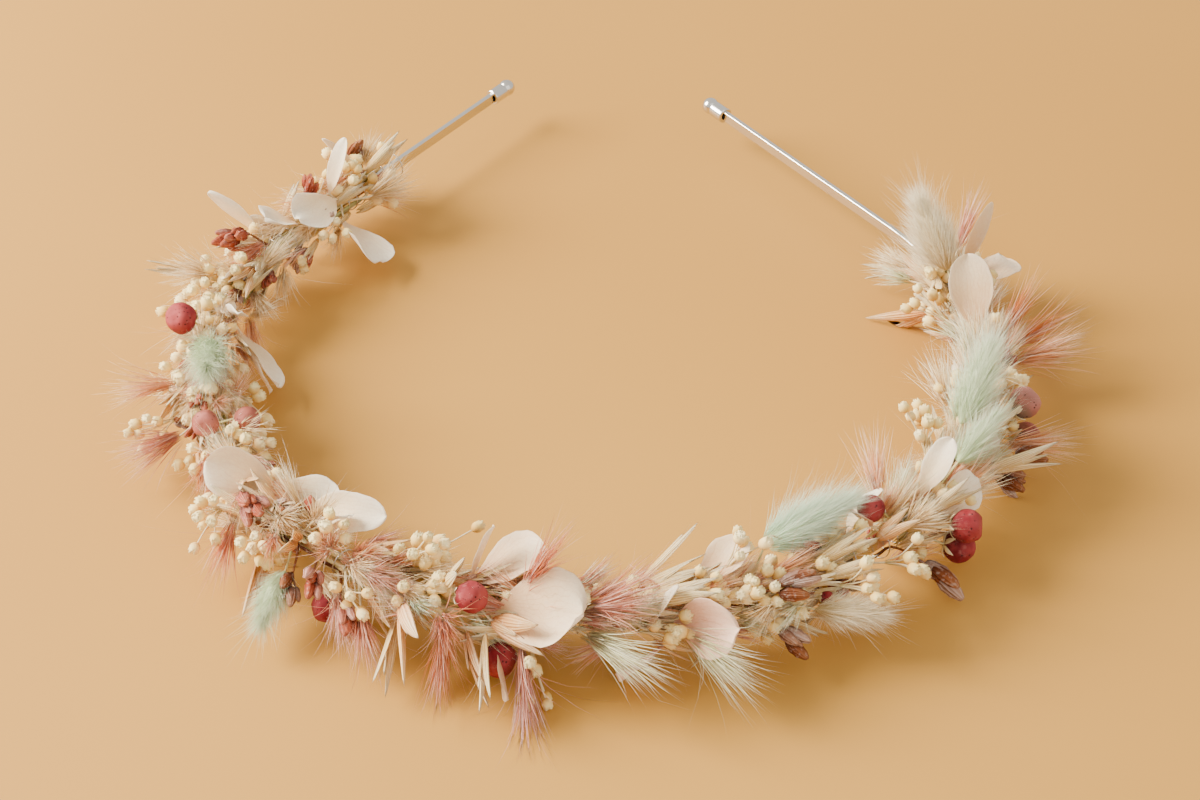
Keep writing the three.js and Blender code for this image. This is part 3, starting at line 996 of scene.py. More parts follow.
def smooth_line(points: Sequence[Array], count: int) -> Array:
    """A smooth line through points.

    Args:
        points: the points that it passes.
        count: how many points to give back, evenly spaced.

    Returns:
        The line's points.
    """
    knots = np.array([points[0] * 2 - points[1], *points, points[-1] * 2 - points[-2]])
    fine = []
    for i in range(1, len(knots) - 2):
        a, b, c, d = knots[i - 1 : i + 3]
        for t in np.linspace(0, 1, 8, endpoint=False):
            fine.append(0.5 * (2 * b + (c - a) * t + (2 * a - 5 * b + 4 * c - d) * t**2
                    + (3 * b - a - 3 * c + d) * t**3))
    fine.append(knots[-2])
    fine = np.array(fine)
    run = np.concatenate([[0], np.cumsum(np.linalg.norm(np.diff(fine, axis=0), axis=1))])
    return np.stack([np.interp(np.linspace(0, run[-1], count), run,
            fine[:, i]) for i in range(3)], 1)


def steady(value: float) -> Callable[[Array], Array]:
    """The same half width all along."""
    return lambda share: np.full_like(share, value)


def tapered(value: float, tip: float = 0.35) -> Callable[[Array], Array]:
    """A half width that thins towards the tip."""
    return lambda share: value * (1 - (1 - tip) * share)


def swollen(value: float, peak: float = 0.5, sharp: float = 1.0,
    least: float = 0.04) -> Callable[[Array], Array]:
    """A half width that swells to a peak and closes at both ends.

    Args:
        value: the widest.
        peak: where along it is widest.
        sharp: above 1 for pointed ends, below 1 for blunt ones.
        least: the thinnest, as a share.

    Returns:
        Half width for each share of the length.
    """

    def width(share: Array) -> Array:
        """Half width."""
        near = np.where(share < peak, share / peak, (1 - share) / (1 - peak))
        return value * np.maximum(np.sin(np.clip(near, 0, 1) * math.pi / 2) ** sharp, least)

    return width


class Grower:
    """Grows the visible heads of a sprig into a bunch."""

    def __init__(self, bunch: Bunch) -> None:
        """Starts with the bunch that the parts go into."""
        self.bunch = bunch
        self.rng = bunch.rng

    def head(self, kind: Kind, at: Frame, head: Head) -> None:
        """Grows one head.

        Args:
            kind: what it is.
            at: where it stands.
            head: its sizes and finish.
        """
        sizes = (head.long * MM, head.wide * MM, head.deep * MM)
        getattr(self, kind.name.lower())(at, *sizes, head.finish)

    def uniform(self, low: float, high: float) -> float:
        """A random number between two."""
        return float(self.rng.uniform(low, high))

    def straight(self, at: Frame, long: float, curl: float = 0.0, side: float = 0.0,
        count: int = 9) -> Array:
        """A line ahead from a frame, bending through and to the side by shares of its length."""
        t = np.linspace(0, 1, count)[:, None]
        return (at.start + at.ahead * t * long + at.through * t**2 * curl * long
            + at.across * t**2 * side * long)

    def petal(self, at: Frame, long: float, wide: float, deep: float, finish: Finish) -> None:
        """A preserved petal: a narrow claw, a broad rounded blade, cupped and a little waved."""
        slim = wide < long * 0.45
        cup = self.uniform(0.10, 0.2) * wide
        wave = self.uniform(0.02, 0.05) * wide
        phase = self.uniform(0, TURN)
        lean = self.uniform(-0.6, 0.6)

        def blade(share: Array) -> Array:
            """Half width, a little uneven."""
            peak = 0.5 if slim else 0.6
            near = np.where(share < peak, (peak - share) / peak, (share - peak) / (1 - peak))
            power = np.where(share < peak, 1.7, 2.4)
            body = (1 - near**power) ** np.where(share < peak, 0.85, 0.5)
            return wide / 2 * np.maximum(body,
                0.05) * (1 + 0.03 * np.sin(share * 9 + phase) + 0.015 * np.sin(share * 31))

        def rise(x: Array, share: Array) -> Array:
            """Cup and waves."""
            full = blade(share) / (wide / 2)
            ripple = np.sin(x * 4 + phase) * wave + np.sin(share * 11 + phase * 2
                + x * 2) * wave * np.abs(x)
            return cup * (x * full) ** 2 + ripple * share + lean * 0.1 * wide * x * share

        points = self.straight(at, long, self.uniform(-0.12, 0.16), self.uniform(-0.05, 0.05), 12)
        self.bunch.lay(LEAF, points, at.through, blade, steady(0.11 * MM), finish, None, rise)

    def tail(self, at: Frame, long: float, wide: float, deep: float, finish: Finish) -> None:
        """A bunny tail: a green core thick with soft hair that lies forward."""
        core = TAIL_CORE_CREAM if finish is TAIL_CREAM else TAIL_CORE_MINT
        curl = self.uniform(-0.06, 0.06)
        line = self.straight(at, long * 0.86, curl, 0, 9)
        self.bunch.lay(POD, line, at.through, swollen(wide * 0.24, 0.4, 0.6),
            swollen(deep * 0.24, 0.4, 0.6), core, 0.5)
        count = int(1900 * (long * wide) / (15 * MM * 8 * MM))
        share = self.rng.random(count) ** 0.85 * 0.99
        turn = self.rng.random(count) * TURN
        out = at.across * np.cos(turn)[:, None] * (wide / deep) + at.through * np.sin(turn)[:, None]
        ring = np.sin(np.clip(share * 1.1 + 0.15, 0, 1) * math.pi) ** 0.6
        middle = at.start + at.ahead * (share * long * 0.86)[:,
            None] + at.through * (share**2 * curl * long)[:, None]
        starts = middle + out * (deep * 0.2 * ring)[:, None]
        splay = np.radians(self.rng.normal(31, 10, count) - share * 14)
        ways = at.ahead * np.cos(splay)[:, None] + unit(out) * np.sin(splay)[:, None]
        reach = deep * self.rng.uniform(0.5, 1.02, count)
        self.bunch.strands(starts, ways, reach, 0.045 * MM, finish, 0.12)
        long_ones = self.rng.choice(count, max(8, count // 16), replace=False)
        far = deep * self.rng.uniform(1.0, 1.8, len(long_ones))
        self.bunch.strands(starts[long_ones], ways[long_ones], far, 0.04 * MM, finish, 0.12)

    def berry(self, at: Frame, long: float, wide: float, deep: float, finish: Finish) -> None:
        """A dried pepper berry: a creased ball with a dimple, and a ragged cream calyx at its
        stalk."""
        radius = wide / 2 * 0.88
        unit_ball = BERRY.co * np.array([1, 1, 2]) - np.array([0, 0, 1])
        seed = Vector((self.uniform(0, 50), 0, 0))
        creases = np.array(
            [
                noise.noise(Vector(p) * 1.6 + seed) * 0.07
                + noise.ridged_multi_fractal(Vector(p) * 2.6 + seed, 1.0, 2.1, 3, 0.9, 2.0) * 0.022
                for p in unit_ball
            ]
        )
        dimple = 0.16 * np.exp(-((1 - unit_ball[:, 2]) ** 2) / 0.02)
        size = radius * (1 + creases - dimple)
        ball = unit_ball * size[:, None]
        coords = at.spot(0, 0, radius) + ball @ np.stack([at.across, at.through, at.ahead])
        self.bunch.put(BERRY, coords, finish)
        for i in range(5):
            turn = i / 5 * TURN
            way = at.across * math.cos(turn) + at.through * math.sin(turn)
            tooth = smooth_line(
                [at.start - at.ahead * 0.1 * MM, at.start + way * radius * 0.5,
                    at.start + way * radius * 0.9 + at.ahead * 0.9 * MM], 6
            )
            self.bunch.lay(BLADE, tooth, at.ahead, swollen(0.45 * MM, 0.5), steady(0.08 * MM),
                STALK_STRAW)

    def seed_ball(self, centre: Array, way: Array, radius: float, finish: Finish) -> None:
        """A ragged seed ball.

        Args:
            centre: its middle.
            way: the way its crown points.
            radius: its radius.
            finish: its finish.
        """
        at = framed(centre, way, unit(self.rng.normal(size=3)))
        unit_ball = SEED.co * np.array([1, 1, 2]) - np.array([0, 0, 1])
        lumps = 1 + 0.06 * np.sin(unit_ball[:, :1] * 7 + self.uniform(0, 6)) * np.cos(
            unit_ball[:, 1:2] * 6)
        ball = unit_ball * lumps * radius * np.array([1, 1, self.uniform(0.95, 1.25)])
        self.bunch.put(SEED, centre + ball @ np.stack([at.across, at.through, at.ahead]), finish)

    def broom(self, at: Frame, long: float, wide: float, deep: float, finish: Finish) -> None:
        """A spray of seed balls on hair-thin stalks."""
        count = max(3, round(wide / MM * 0.9))
        for i in range(count):
            turn = (i + self.uniform(-0.3, 0.3)) * 2.4
            out = math.sqrt((i + 0.6) / count)
            x = math.cos(turn) * out * wide * 0.58
            y = math.sin(turn) * out * deep * 0.58
            z = long * self.uniform(0.35, 1.0) * (1 - 0.1 * out)
            radius = self.uniform(0.85, 1.15) * MM
            centre = at.spot(x, y, z - radius * 0.5)
            stalk = smooth_line([at.spot(x * 0.05, y * 0.05, -0.5 * MM),
                    at.spot(x * 0.35, y * 0.3, z * 0.45), centre], 9)
            self.bunch.lay(STALK, stalk, at.through, steady(0.13 * MM), steady(0.13 * MM),
                STALK_STRAW)
            self.seed_ball(centre, centre - stalk[-3], radius, finish)

    def glume(self, at: Frame, long: float, wide: float, finish: Finish, open_to: float) -> None:
        """One papery shell with ribs, arched and tapering to a point.

        Args:
            at: where it stands.
            long: its length.
            wide: its width.
            finish: its finish.
            open_to: how far its tip swings to the side, as a share of its length.
        """
        phase = self.uniform(0, TURN)
        width = swollen(wide / 2, 0.36, 0.95, 0.05)

        def rise(x: Array, share: Array) -> Array:
            """An arch across it with ribs."""
            return (1 - x**2) * width(share) * 0.55 + np.cos(x * 9 + phase) * 0.07 * MM

        points = self.straight(at, long, self.uniform(-0.08, 0.10), open_to, 11)
        self.bunch.lay(GLUME, points, at.through, width, steady(0.10 * MM), finish, None, rise)

    def oat(self, at: Frame, long: float, wide: float, deep: float, finish: Finish) -> None:
        """An oat spikelet: two or three long shells that part at their tips, and a bent awn."""
        for side in (-1, 1):
            tilt = at.way(side * 0.05, 0.02 * side, 1)
            shell = framed(at.spot(side * wide * 0.08, 0, 0), tilt, at.way(side * 0.5, 1, 0))
            self.glume(shell, long * self.uniform(0.86, 1.0), wide * 0.58, finish,
                side * self.uniform(0.02, 0.09))
        inner = framed(at.spot(0, 0.15 * MM, long * 0.05), at.ahead, at.through)
        self.glume(inner, long * 0.72, wide * 0.5, finish, self.uniform(-0.04, 0.04))
        starts = np.repeat(at.spot(0, 0.2 * MM, long * 0.4)[None], 2, 0)
        ways = np.stack([at.way(0.1, 0.12, 1), at.way(-0.12, 0.05, 1)])
        self.bunch.strands(starts, ways, np.array([long * 0.66, long * 0.55]), 0.06 * MM, finish,
            0.12)

    def husk(self, at: Frame, long: float, wide: float, deep: float, finish: Finish) -> None:
        """A broad papery husk: two ribbed shells with a slit between their pointed ends."""
        for side in (-1, 1):
            tilt = at.way(side * 0.06, 0.01, 1)
            shell = framed(at.spot(side * wide * 0.12, -0.1 * MM * side, 0), tilt,
                at.way(side * 0.35, 1, 0))
            self.glume(shell, long * self.uniform(0.95, 1.1), wide * 0.6, finish,
                side * self.uniform(0.06, 0.16))
        self.glume(framed(at.spot(0, 0.3 * MM, 0), at.ahead, at.through), long * 0.6, wide * 0.5,
            finish, 0.0)

    def tuft(self, at: Frame, long: float, wide: float, deep: float, finish: Finish) -> None:
        """A tuft of dyed grass: awns that fan out from one stem, with finer hairs among them."""
        count = int(8 + 9 * wide / MM)
        for share, radius, number in ((1.0, 0.11 * MM, count), (1.12, 0.05 * MM, count)):
            side = self.rng.normal(size=(number, 2)) * 0.42
            starts = at.start + at.across * (side[:, :1] * wide * 0.22) + at.through * (
                side[:, 1:] * deep * 0.22)
            starts = starts + at.ahead * (self.rng.random((number, 1)) * long * 0.3 - 0.5 * MM)
            ways = at.ahead * long + at.across * side[:, :1] * wide + at.through * side[:,
                1:] * deep
            reach = long * share * self.rng.uniform(0.45, 0.95, number)
            self.bunch.strands(starts, ways, reach, radius, finish, 0.10, HAIR, 0.8)
        curly = max(2, count // 6)
        ways = at.ahead * long + at.across * self.rng.normal(size=(curly, 1)) * wide * 0.5
        self.bunch.strands(np.repeat(at.start[None], curly, 0), ways, np.full(curly, long * 0.8),
            0.08 * MM, finish, 0.55)

    def pods(self, at: Frame, long: float, wide: float, deep: float, finish: Finish) -> None:
        """A cluster of dry ribbed pods on short stalks."""
        count = max(3, round(wide / MM * 0.9))
        for i in range(count):
            turn = (i + self.uniform(-0.3, 0.3)) * 2.4
            out = math.sqrt((i + 0.5) / count)
            x, y = math.cos(turn) * out * wide * 0.36, math.sin(turn) * out * deep * 0.36
            size = self.uniform(0.36, 0.56) * long
            begin = at.spot(x * 0.6, y * 0.6,
                (long - size) * self.uniform(0.25, 1.0) * (1.05 - 0.35 * out))
            way = at.way(x / long * 1.3, y / long * 1.3, 1)
            self.pod(framed(begin, way, at.through), size, size * self.uniform(0.2, 0.25), finish)
            stalk = smooth_line([at.start, (at.start + begin) / 2 + at.through * 0.2 * MM,
                    begin + way * 0.3 * MM], 7)
            self.bunch.lay(STALK, stalk, at.through, steady(0.2 * MM), steady(0.2 * MM), finish)

    def pod(self, at: Frame, long: float, radius: float, finish: Finish) -> None:
        """One ribbed pod.

        Args:
            at: where it stands.
            long: its length.
            radius: its radius.
            finish: its finish.
        """
        turn = np.arctan2(POD.co[:, 1], POD.co[:, 0])
        share = POD.co[:, 2]
        ribs = 1 + 0.20 * np.cos(turn * 6 + share * self.uniform(-1, 1)) + 0.07 * np.cos(turn * 3
            + share * 19)
        body = np.sin(np.clip(share * 0.92 + 0.04, 0, 1) * math.pi) ** 0.55 * (1 - 0.3 * share)
        spread = radius * ribs * body
        bend = self.uniform(-0.12, 0.12) * long * share**2
        coords = (
            at.start
            + at.across * (POD.co[:, 0] * spread + bend)[:, None]
            + at.through * (POD.co[:, 1] * spread)[:, None]
            + at.ahead * (share * long)[:, None]
        )
        self.bunch.put(POD, coords, finish)


STEM_FINISH = {Kind.PODS: POD_BROWN, Kind.BERRY: STALK_GREEN, Kind.TUFT: STALK_STRAW,
    Kind.TAIL: STALK_GREEN}


@dataclass
class Garland:
    """Every sprig on the crown.

    Attributes:
        sprigs: in the order they were bound on, from the left end to the right.
    """

    sprigs: list[Sprig]

    def build(self) -> None:
        """Grows each sprig as one piece."""
        for sprig in self.sprigs:
            bunch = Bunch(f"{sprig.name}_{'loose' if sprig.extra else 'dried'}")
            grower = Grower(bunch)
            for head in map(sprig.sized, sprig.heads):
                at = sprig.frame(head)
                width = tapered(0.34 * MM, 0.5)
                stem_finish = STEM_FINISH.get(sprig.kind, STALK_STRAW)
                bunch.lay(STALK, sprig.stem(at), UP, width, width, stem_finish, 0.5)
                grower.head(sprig.kind, at, head)
            nodes = () if sprig.extra else (sprig.name,)
            bunch.finish(sprig.body(), sprig.kind.slot, nodes)


SPRIGS = [
    Sprig("pods_left_end", Kind.PODS, -25, 20, [Head(lean=12, long=9)], back=True),
    Sprig("floret_left_end", Kind.PETAL, -24, 120,
        [Head(lean=15, long=15, wide=8.5), Head(roll=195, lean=72, long=13, wide=11, spin=60),
            Head(roll=95, lean=110, long=12, wide=3.6)]),
    Sprig("pods_left_back", Kind.PODS, -21, 70, [Head(lean=25, long=10, wide=8)]),
    Sprig("broom_left_back", Kind.BROOM, -19, 330, [Head(long=12, rests=True)], back=True),
    Sprig("berry_left_back", Kind.BERRY, -17, 60, [Head(lean=50)]),
    Sprig("floret_left", Kind.PETAL, -18, 150,
        [Head(roll=125, lean=40, long=14, wide=4.5),
            Head(roll=195, lean=40, long=16, wide=6.5, spin=60)]),
    Sprig("tail_left_mint", Kind.TAIL, -16, 100, [Head(lean=12, long=13)]),
    Sprig("broom_left", Kind.BROOM, -15, 180, [Head(lean=35)]),
    Sprig("tuft_left_peach", Kind.TUFT, -15, 20, [Head(lean=60)]),
    Sprig("berries_left", Kind.BERRY, -13, 95,
        [Head(roll=70, lean=20, long=5.4, wide=5.2, deep=5.2),
            Head(roll=130, lean=25, long=5.4, wide=5.2, deep=5.2)]),
    Sprig("floret_left_front", Kind.PETAL, -10, 110,
        [Head(roll=110, toward=35, lean=133, long=12, wide=9.5),
            Head(roll=120, toward=192, lean=38, long=11, wide=9, spin=-52)]),
    Sprig("tuft_left_coral", Kind.TUFT, -11, 350, [Head(lean=45)]),
    Sprig("husk_left", Kind.HUSK, -10, 320, [Head(long=14, rests=True)]),
    Sprig("pods_left_front", Kind.PODS, -10, 50, [Head(lean=18, wide=7.4)]),
    Sprig("broom_left_front", Kind.BROOM, -9, 15, [Head(lean=50, long=8, wide=6, deep=4)]),
    Sprig("petal_left_pointing", Kind.PETAL, -9, 134, [Head(lean=24, long=16, wide=7, spin=90)]),
    Sprig("tail_left_front_mint", Kind.TAIL, -9, 350, [Head(lean=65, long=12, wide=6, deep=6)]),
    Sprig("berry_front_left", Kind.BERRY, -7, 325, [Head(lean=45, long=5.4, wide=5.2, deep=5.2)],
        back=True),
    Sprig("tuft_front_left", Kind.TUFT, -6, 5,
        [Head(roll=345, lean=50, wide=6), Head(roll=50, lean=30, long=10, wide=4.5)]),
    Sprig("broom_front_left", Kind.BROOM, -6, 150,
        [Head(roll=130, lean=25, wide=6, deep=4),
            Head(roll=170, lean=50, long=14, wide=5, deep=4)]),
    Sprig("husk_front_left", Kind.HUSK, -5, 15, [Head(lean=55, long=16, wide=5)]),
    Sprig("tuft_front_coral", Kind.TUFT, -5, 345,
        [Head(roll=15, lean=60, long=12, wide=8), Head(roll=330, wide=4.5, deep=3, rests=True)]),
    Sprig("floret_front", Kind.PETAL, -4, 135,
        [Head(roll=120, lean=75, long=10, wide=3.6),
            Head(roll=140, lean=30, long=13, wide=11.5, spin=50)]),
    Sprig("petal_front_big", Kind.PETAL, -3, 80, [Head(roll=55, lean=12, long=15, wide=13.5)]),
    Sprig("berry_front_top", Kind.BERRY, -4, 85,
        [Head(roll=55, lean=20, long=6, wide=5.8, deep=5.8)]),
    Sprig("husk_front_forked", Kind.HUSK, -3, 35, [Head(roll=22, lean=32, long=11, wide=5)]),
    Sprig("oat_front_long", Kind.OAT, -4, 355, [Head(roll=0, lean=75, long=18)]),
    Sprig("berry_front_low", Kind.BERRY, -4, 310, [Head(roll=328, lean=20)]),
    Sprig("broom_front_low", Kind.BROOM, -3, 330, [Head(wide=8, deep=4, rests=True)]),
    Sprig("tuft_front_mauve", Kind.TUFT, -1, 60, [Head(lean=30, wide=7)]),
    Sprig("tuft_front_green", Kind.TUFT, -1, 15, [Head(lean=45, long=19, wide=5)]),
    Sprig("floret_front_right", Kind.PETAL, 1, 20,
        [Head(roll=25, lean=35, long=12, wide=10), Head(roll=320, lean=150, long=11, wide=8)]),
    Sprig("oats_front_right", Kind.OAT, 0, 100,
        [Head(roll=135, lean=40, long=15), Head(roll=110, lean=20, long=13),
            Head(roll=70, lean=22, long=15, wide=4)]),
    Sprig("broom_front_right", Kind.BROOM, 2, 105, [Head(lean=46, wide=8)]),
    Sprig("tail_front_right_aqua", Kind.TAIL, 3, 120, [Head(lean=15, long=17, wide=9)]),
    Sprig("pods_front_right", Kind.PODS, 3, 30,
        [Head(roll=50, lean=15, long=9, wide=6), Head(roll=345, lean=60, long=10, wide=4, deep=4)]),
    Sprig("tail_front_right_cream", Kind.TAIL, 3, 345,
        [Head(roll=0, lean=30, long=11, wide=6, deep=6)]),
    Sprig("berry_right_top", Kind.BERRY, 7, 100, [Head(lean=30, long=5.6, wide=5.2, deep=5.2)],
        back=True),
    Sprig("floret_right", Kind.PETAL, 8, 60,
        [Head(roll=35, lean=20, long=10, wide=7), Head(roll=85, lean=50, long=11, wide=5)]),
    Sprig("berries_right", Kind.BERRY, 7, 345,
        [Head(roll=330, lean=40), Head(roll=10, lean=62, long=9)]),
    Sprig("tuft_right_peach", Kind.TUFT, 7, 155, [Head(lean=50)]),
    Sprig("tail_right_mint", Kind.TAIL, 9, 70, [Head(lean=20, long=12, wide=6, deep=6)]),
    Sprig("oat_right_long", Kind.OAT, 10, 15, [Head(lean=50, long=16)]),
    Sprig("broom_right", Kind.BROOM, 9, 130, [Head(lean=60, wide=8)]),
    Sprig("pods_right", Kind.PODS, 10, 325, [Head(deep=4, rests=True)]),
    Sprig("tail_right_back_mint", Kind.TAIL, 10, 95, [Head(lean=30, long=16)]),
    Sprig("berries_right_back", Kind.BERRY, 12, 0,
        [Head(roll=340, lean=45), Head(roll=30, lean=40)]),
    Sprig("tuft_right_back", Kind.TUFT, 15, 20,
        [Head(roll=10, lean=57, long=17, wide=4.5, deep=3),
            Head(roll=45, lean=50, long=14, wide=3.5, deep=3)]),
    Sprig("floret_right_back", Kind.PETAL, 15, 100, [Head(lean=45, long=14, wide=8)]),
    Sprig("tail_right_back_cream", Kind.TAIL, 17, 110, [Head(lean=60, long=14, wide=10, deep=7)]),
    Sprig("floret_right_end", Kind.PETAL, 18, 30,
        [Head(roll=0, lean=55, long=12, wide=12, spin=60),
            Head(roll=55, lean=60, long=14, wide=3.6)]),
    Sprig("husk_right_end", Kind.HUSK, 17, 220, [Head(long=14, rests=True)]),
]

LOOSE = [
    Sprig("slim_left_end", Kind.PETAL, -25.2, 90, [Head(roll=80, lean=60, long=12, wide=3.4)],
        finish=PETAL_WHITE),
    Sprig("spray_left_end", Kind.TUFT, -24.6, 150, [Head(roll=160, lean=16, long=11, wide=7)],
        True, GRASS_CREAM),
    Sprig("balls_left_end", Kind.BROOM, -24.2, 60, [Head(roll=60, lean=26, long=9, wide=6)], True),
    Sprig("oat_left_end", Kind.OAT, -24.9, 110, [Head(roll=110, lean=22, long=12)], True),
    Sprig("slim_left_back", Kind.PETAL, -21.5, 60, [Head(roll=40, lean=80, long=13, wide=3.6)],
        finish=PETAL_WHITE),
    Sprig("petal_left_broad", Kind.PETAL, -22.4, 110, [Head(roll=100, lean=34, long=11, wide=8)],
        finish=PETAL_WHITE),
    Sprig("fuzz_left", Kind.TUFT, -19.5, 60, [Head(roll=30, lean=55, long=9, wide=8, deep=5)],
        finish=GRASS_CREAM),
    Sprig("streak_left", Kind.OAT, -19.5, 20, [Head(roll=8, lean=84, long=16, wide=2)]),
    Sprig("bud_left", Kind.BERRY, -17.3, 50, [Head(roll=20, lean=60, long=3, wide=2.8, deep=2.8)]),
    Sprig("petal_left_drooping", Kind.PETAL, -18, 190,
        [Head(roll=204, lean=38, long=14, wide=6, spin=40)], finish=PETAL_WHITE),
    Sprig("balls_left_low", Kind.BROOM, -14, 10, [Head(roll=0, lean=60, long=11, wide=8)]),
    Sprig("bristles_left", Kind.TUFT, -13.4, 0, [Head(roll=355, lean=72, long=12, wide=7)],
        finish=GRASS_MAUVE),
    Sprig("balls_left_front", Kind.BROOM, -10.4, 20,
        [Head(roll=10, lean=62, long=9, wide=9, deep=6)]),
    Sprig("awns_left_orange", Kind.TUFT, -8.6, 30, [Head(roll=30, lean=48, long=9, wide=4)],
        finish=GRASS_ORANGE),
    Sprig("awns_front_orange", Kind.TUFT, -6.6, 70, [Head(roll=70, lean=40, long=9, wide=4)],
        finish=GRASS_ORANGE),
    Sprig("pods_front_left_low", Kind.PODS, -7.45, 350, [Head(roll=350, lean=40, wide=7)],
        finish=POD_ROSE),
    Sprig("grass_front_left_low", Kind.TUFT, -7.5, 330,
        [Head(roll=345, lean=46, long=11, wide=7)], finish=GRASS_MAUVE),
    Sprig("balls_front_left_low", Kind.BROOM, -6.4, 20, [Head(roll=15, lean=42, long=8, wide=7)]),
    Sprig("cream_front_left", Kind.TUFT, -6.5, 60, [Head(roll=50, lean=34, long=9, wide=6)],
        finish=GRASS_CREAM),
    Sprig("cream_left_front", Kind.TUFT, -8.9, 70, [Head(roll=60, lean=36, long=8, wide=6)],
        finish=GRASS_CREAM),
    Sprig("pods_left_low", Kind.PODS, -8.8, 350, [Head(roll=350, lean=50, long=8, wide=5)]),
    Sprig("hinge_left_husk", Kind.HUSK, -7.95, 45, [Head(roll=45, lean=66, long=8, wide=3)]),
    Sprig("hinge_left_cream", Kind.TUFT, -8.15, 90, [Head(roll=90, lean=62, long=8, wide=6)],
        finish=GRASS_CREAM),
    Sprig("hinge_left_chip", Kind.PETAL, -8.1, 110, [Head(roll=110, lean=45, long=7, wide=5)],
        finish=PETAL_WHITE),
    Sprig("hinge_left_peach", Kind.TUFT, -7.2, 60, [Head(roll=60, lean=68, long=8, wide=7)],
        finish=GRASS_PEACH),
    Sprig("hinge_left_balls", Kind.BROOM, -7.41, 75, [Head(roll=75, lean=58, long=7, wide=6)]),
    Sprig("hinge_left_pods", Kind.PODS, -7.2, 0, [Head(roll=20, lean=52, long=8, wide=6)],
        finish=POD_ROSE),
    Sprig("oat_dangling", Kind.OAT, -6, 340, [Head(roll=345, lean=72, long=15)]),
    Sprig("balls_front_stalked", Kind.BROOM, -5.5, 90,
        [Head(roll=95, lean=55, long=9, wide=4, deep=3)]),
    Sprig("sprig_front_teal", Kind.TUFT, -4.8, 30, [Head(roll=30, lean=40, long=7, wide=3)],
        finish=TAIL_MINT),
    Sprig("husk_dangling", Kind.HUSK, -4.4, 340, [Head(roll=350, lean=62, long=13, wide=3.6)]),
    Sprig("bract_front", Kind.HUSK, -4.3, 85, [Head(roll=78, lean=60, long=6.5, wide=4.5)],
        finish=OAT_CREAM),
    Sprig("petal_front_low", Kind.PETAL, -3.8, 335,
        [Head(roll=340, lean=60, long=9, wide=5, out=7)]),
    Sprig("hairs_front_low", Kind.TUFT, -3.2, 325,
        [Head(roll=335, long=19, wide=8, deep=3, rests=True)], finish=GRASS_LILAC),
    Sprig("awns_front_coral", Kind.TUFT, -2.6, 90,
        [Head(roll=95, lean=62, long=14, wide=6, deep=3)], finish=GRASS_CORAL),
    Sprig("hairs_front_green", Kind.TUFT, 0.2, 345, [Head(roll=0, lean=56, long=17, wide=8)],
        finish=GRASS_GREEN),
    Sprig("flake_front", Kind.PETAL, 0.4, 20,
        [Head(roll=10, toward=90, lean=65, long=10, wide=3.2, out=4.2)], finish=PETAL_WHITE),
    Sprig("petal_front_inner", Kind.PETAL, 1.4, 120,
        [Head(roll=120, lean=30, long=11, wide=7, spin=30)]),
    Sprig("bud_front_right", Kind.BERRY, 4.3, 10,
        [Head(roll=5, lean=40, long=3, wide=2.6, deep=2.6)]),
    Sprig("oats_front_crossing", Kind.OAT, 4.2, 70,
        [Head(roll=70, lean=26, long=13, wide=2.6), Head(roll=40, lean=34, long=12, wide=2.4)]),
    Sprig("balls_front_low_right", Kind.BROOM, 4.6, 30, [Head(roll=20, lean=50, long=10, wide=8)]),
    Sprig("petal_right_inner", Kind.PETAL, 5.6, 130, [Head(roll=130, lean=24, long=10, wide=6.5)],
        finish=PETAL_WHITE),
    Sprig("twig_right", Kind.PODS, 6.2, 350, [Head(roll=335, lean=76, long=13, wide=2.5, deep=2)]),
    Sprig("hinge_right_balls", Kind.BROOM, 5.9, 20, [Head(roll=20, lean=55, long=7, wide=7)]),
    Sprig("hinge_right_husk", Kind.HUSK, 5.95, 60, [Head(roll=60, lean=52, long=8, wide=3)]),
    Sprig("hinge_right_cream", Kind.TUFT, 6.85, 70, [Head(roll=50, lean=68, long=8, wide=6)],
        finish=GRASS_CREAM),
    Sprig("hinge_right_chip", Kind.PETAL, 6.52, 100, [Head(roll=100, lean=52, long=7, wide=5)],
        True, PETAL_PINK),
    Sprig("spray_right_low", Kind.TUFT, 10.5, 350, [Head(roll=355, lean=60, long=14, wide=6)],
        finish=GRASS_PEACH),
    Sprig("stalked_ball_right", Kind.BROOM, 10.5, 170,
        [Head(roll=165, lean=65, long=10, wide=3, deep=2)]),
    Sprig("pods_right_dark", Kind.PODS, 10.6, 10, [Head(roll=5, lean=50, long=12, wide=5)]),
    Sprig("balls_right", Kind.BROOM, 11, 110, [Head(roll=110, lean=45, long=8, wide=8)]),
    Sprig("cream_right", Kind.TUFT, 11.5, 140, [Head(roll=150, lean=35, long=12, wide=7)],
        finish=GRASS_CREAM),
    Sprig("spray_right_blush", Kind.TUFT, 14.5, 10, [Head(roll=5, lean=70, long=16, wide=6)],
        finish=GRASS_PEACH),
    Sprig("balls_right_back", Kind.BROOM, 15.5, 120, [Head(roll=150, lean=60, long=9, wide=5)]),
    Sprig("bit_right_green", Kind.TUFT, 18, 190, [Head(roll=180, lean=40, long=8, wide=3)],
        finish=GRASS_GREEN),
    Sprig("awns_right_end", Kind.TUFT, 18.5, 60, [Head(roll=50, lean=62, long=13, wide=3)],
        finish=GRASS_MAUVE),
]

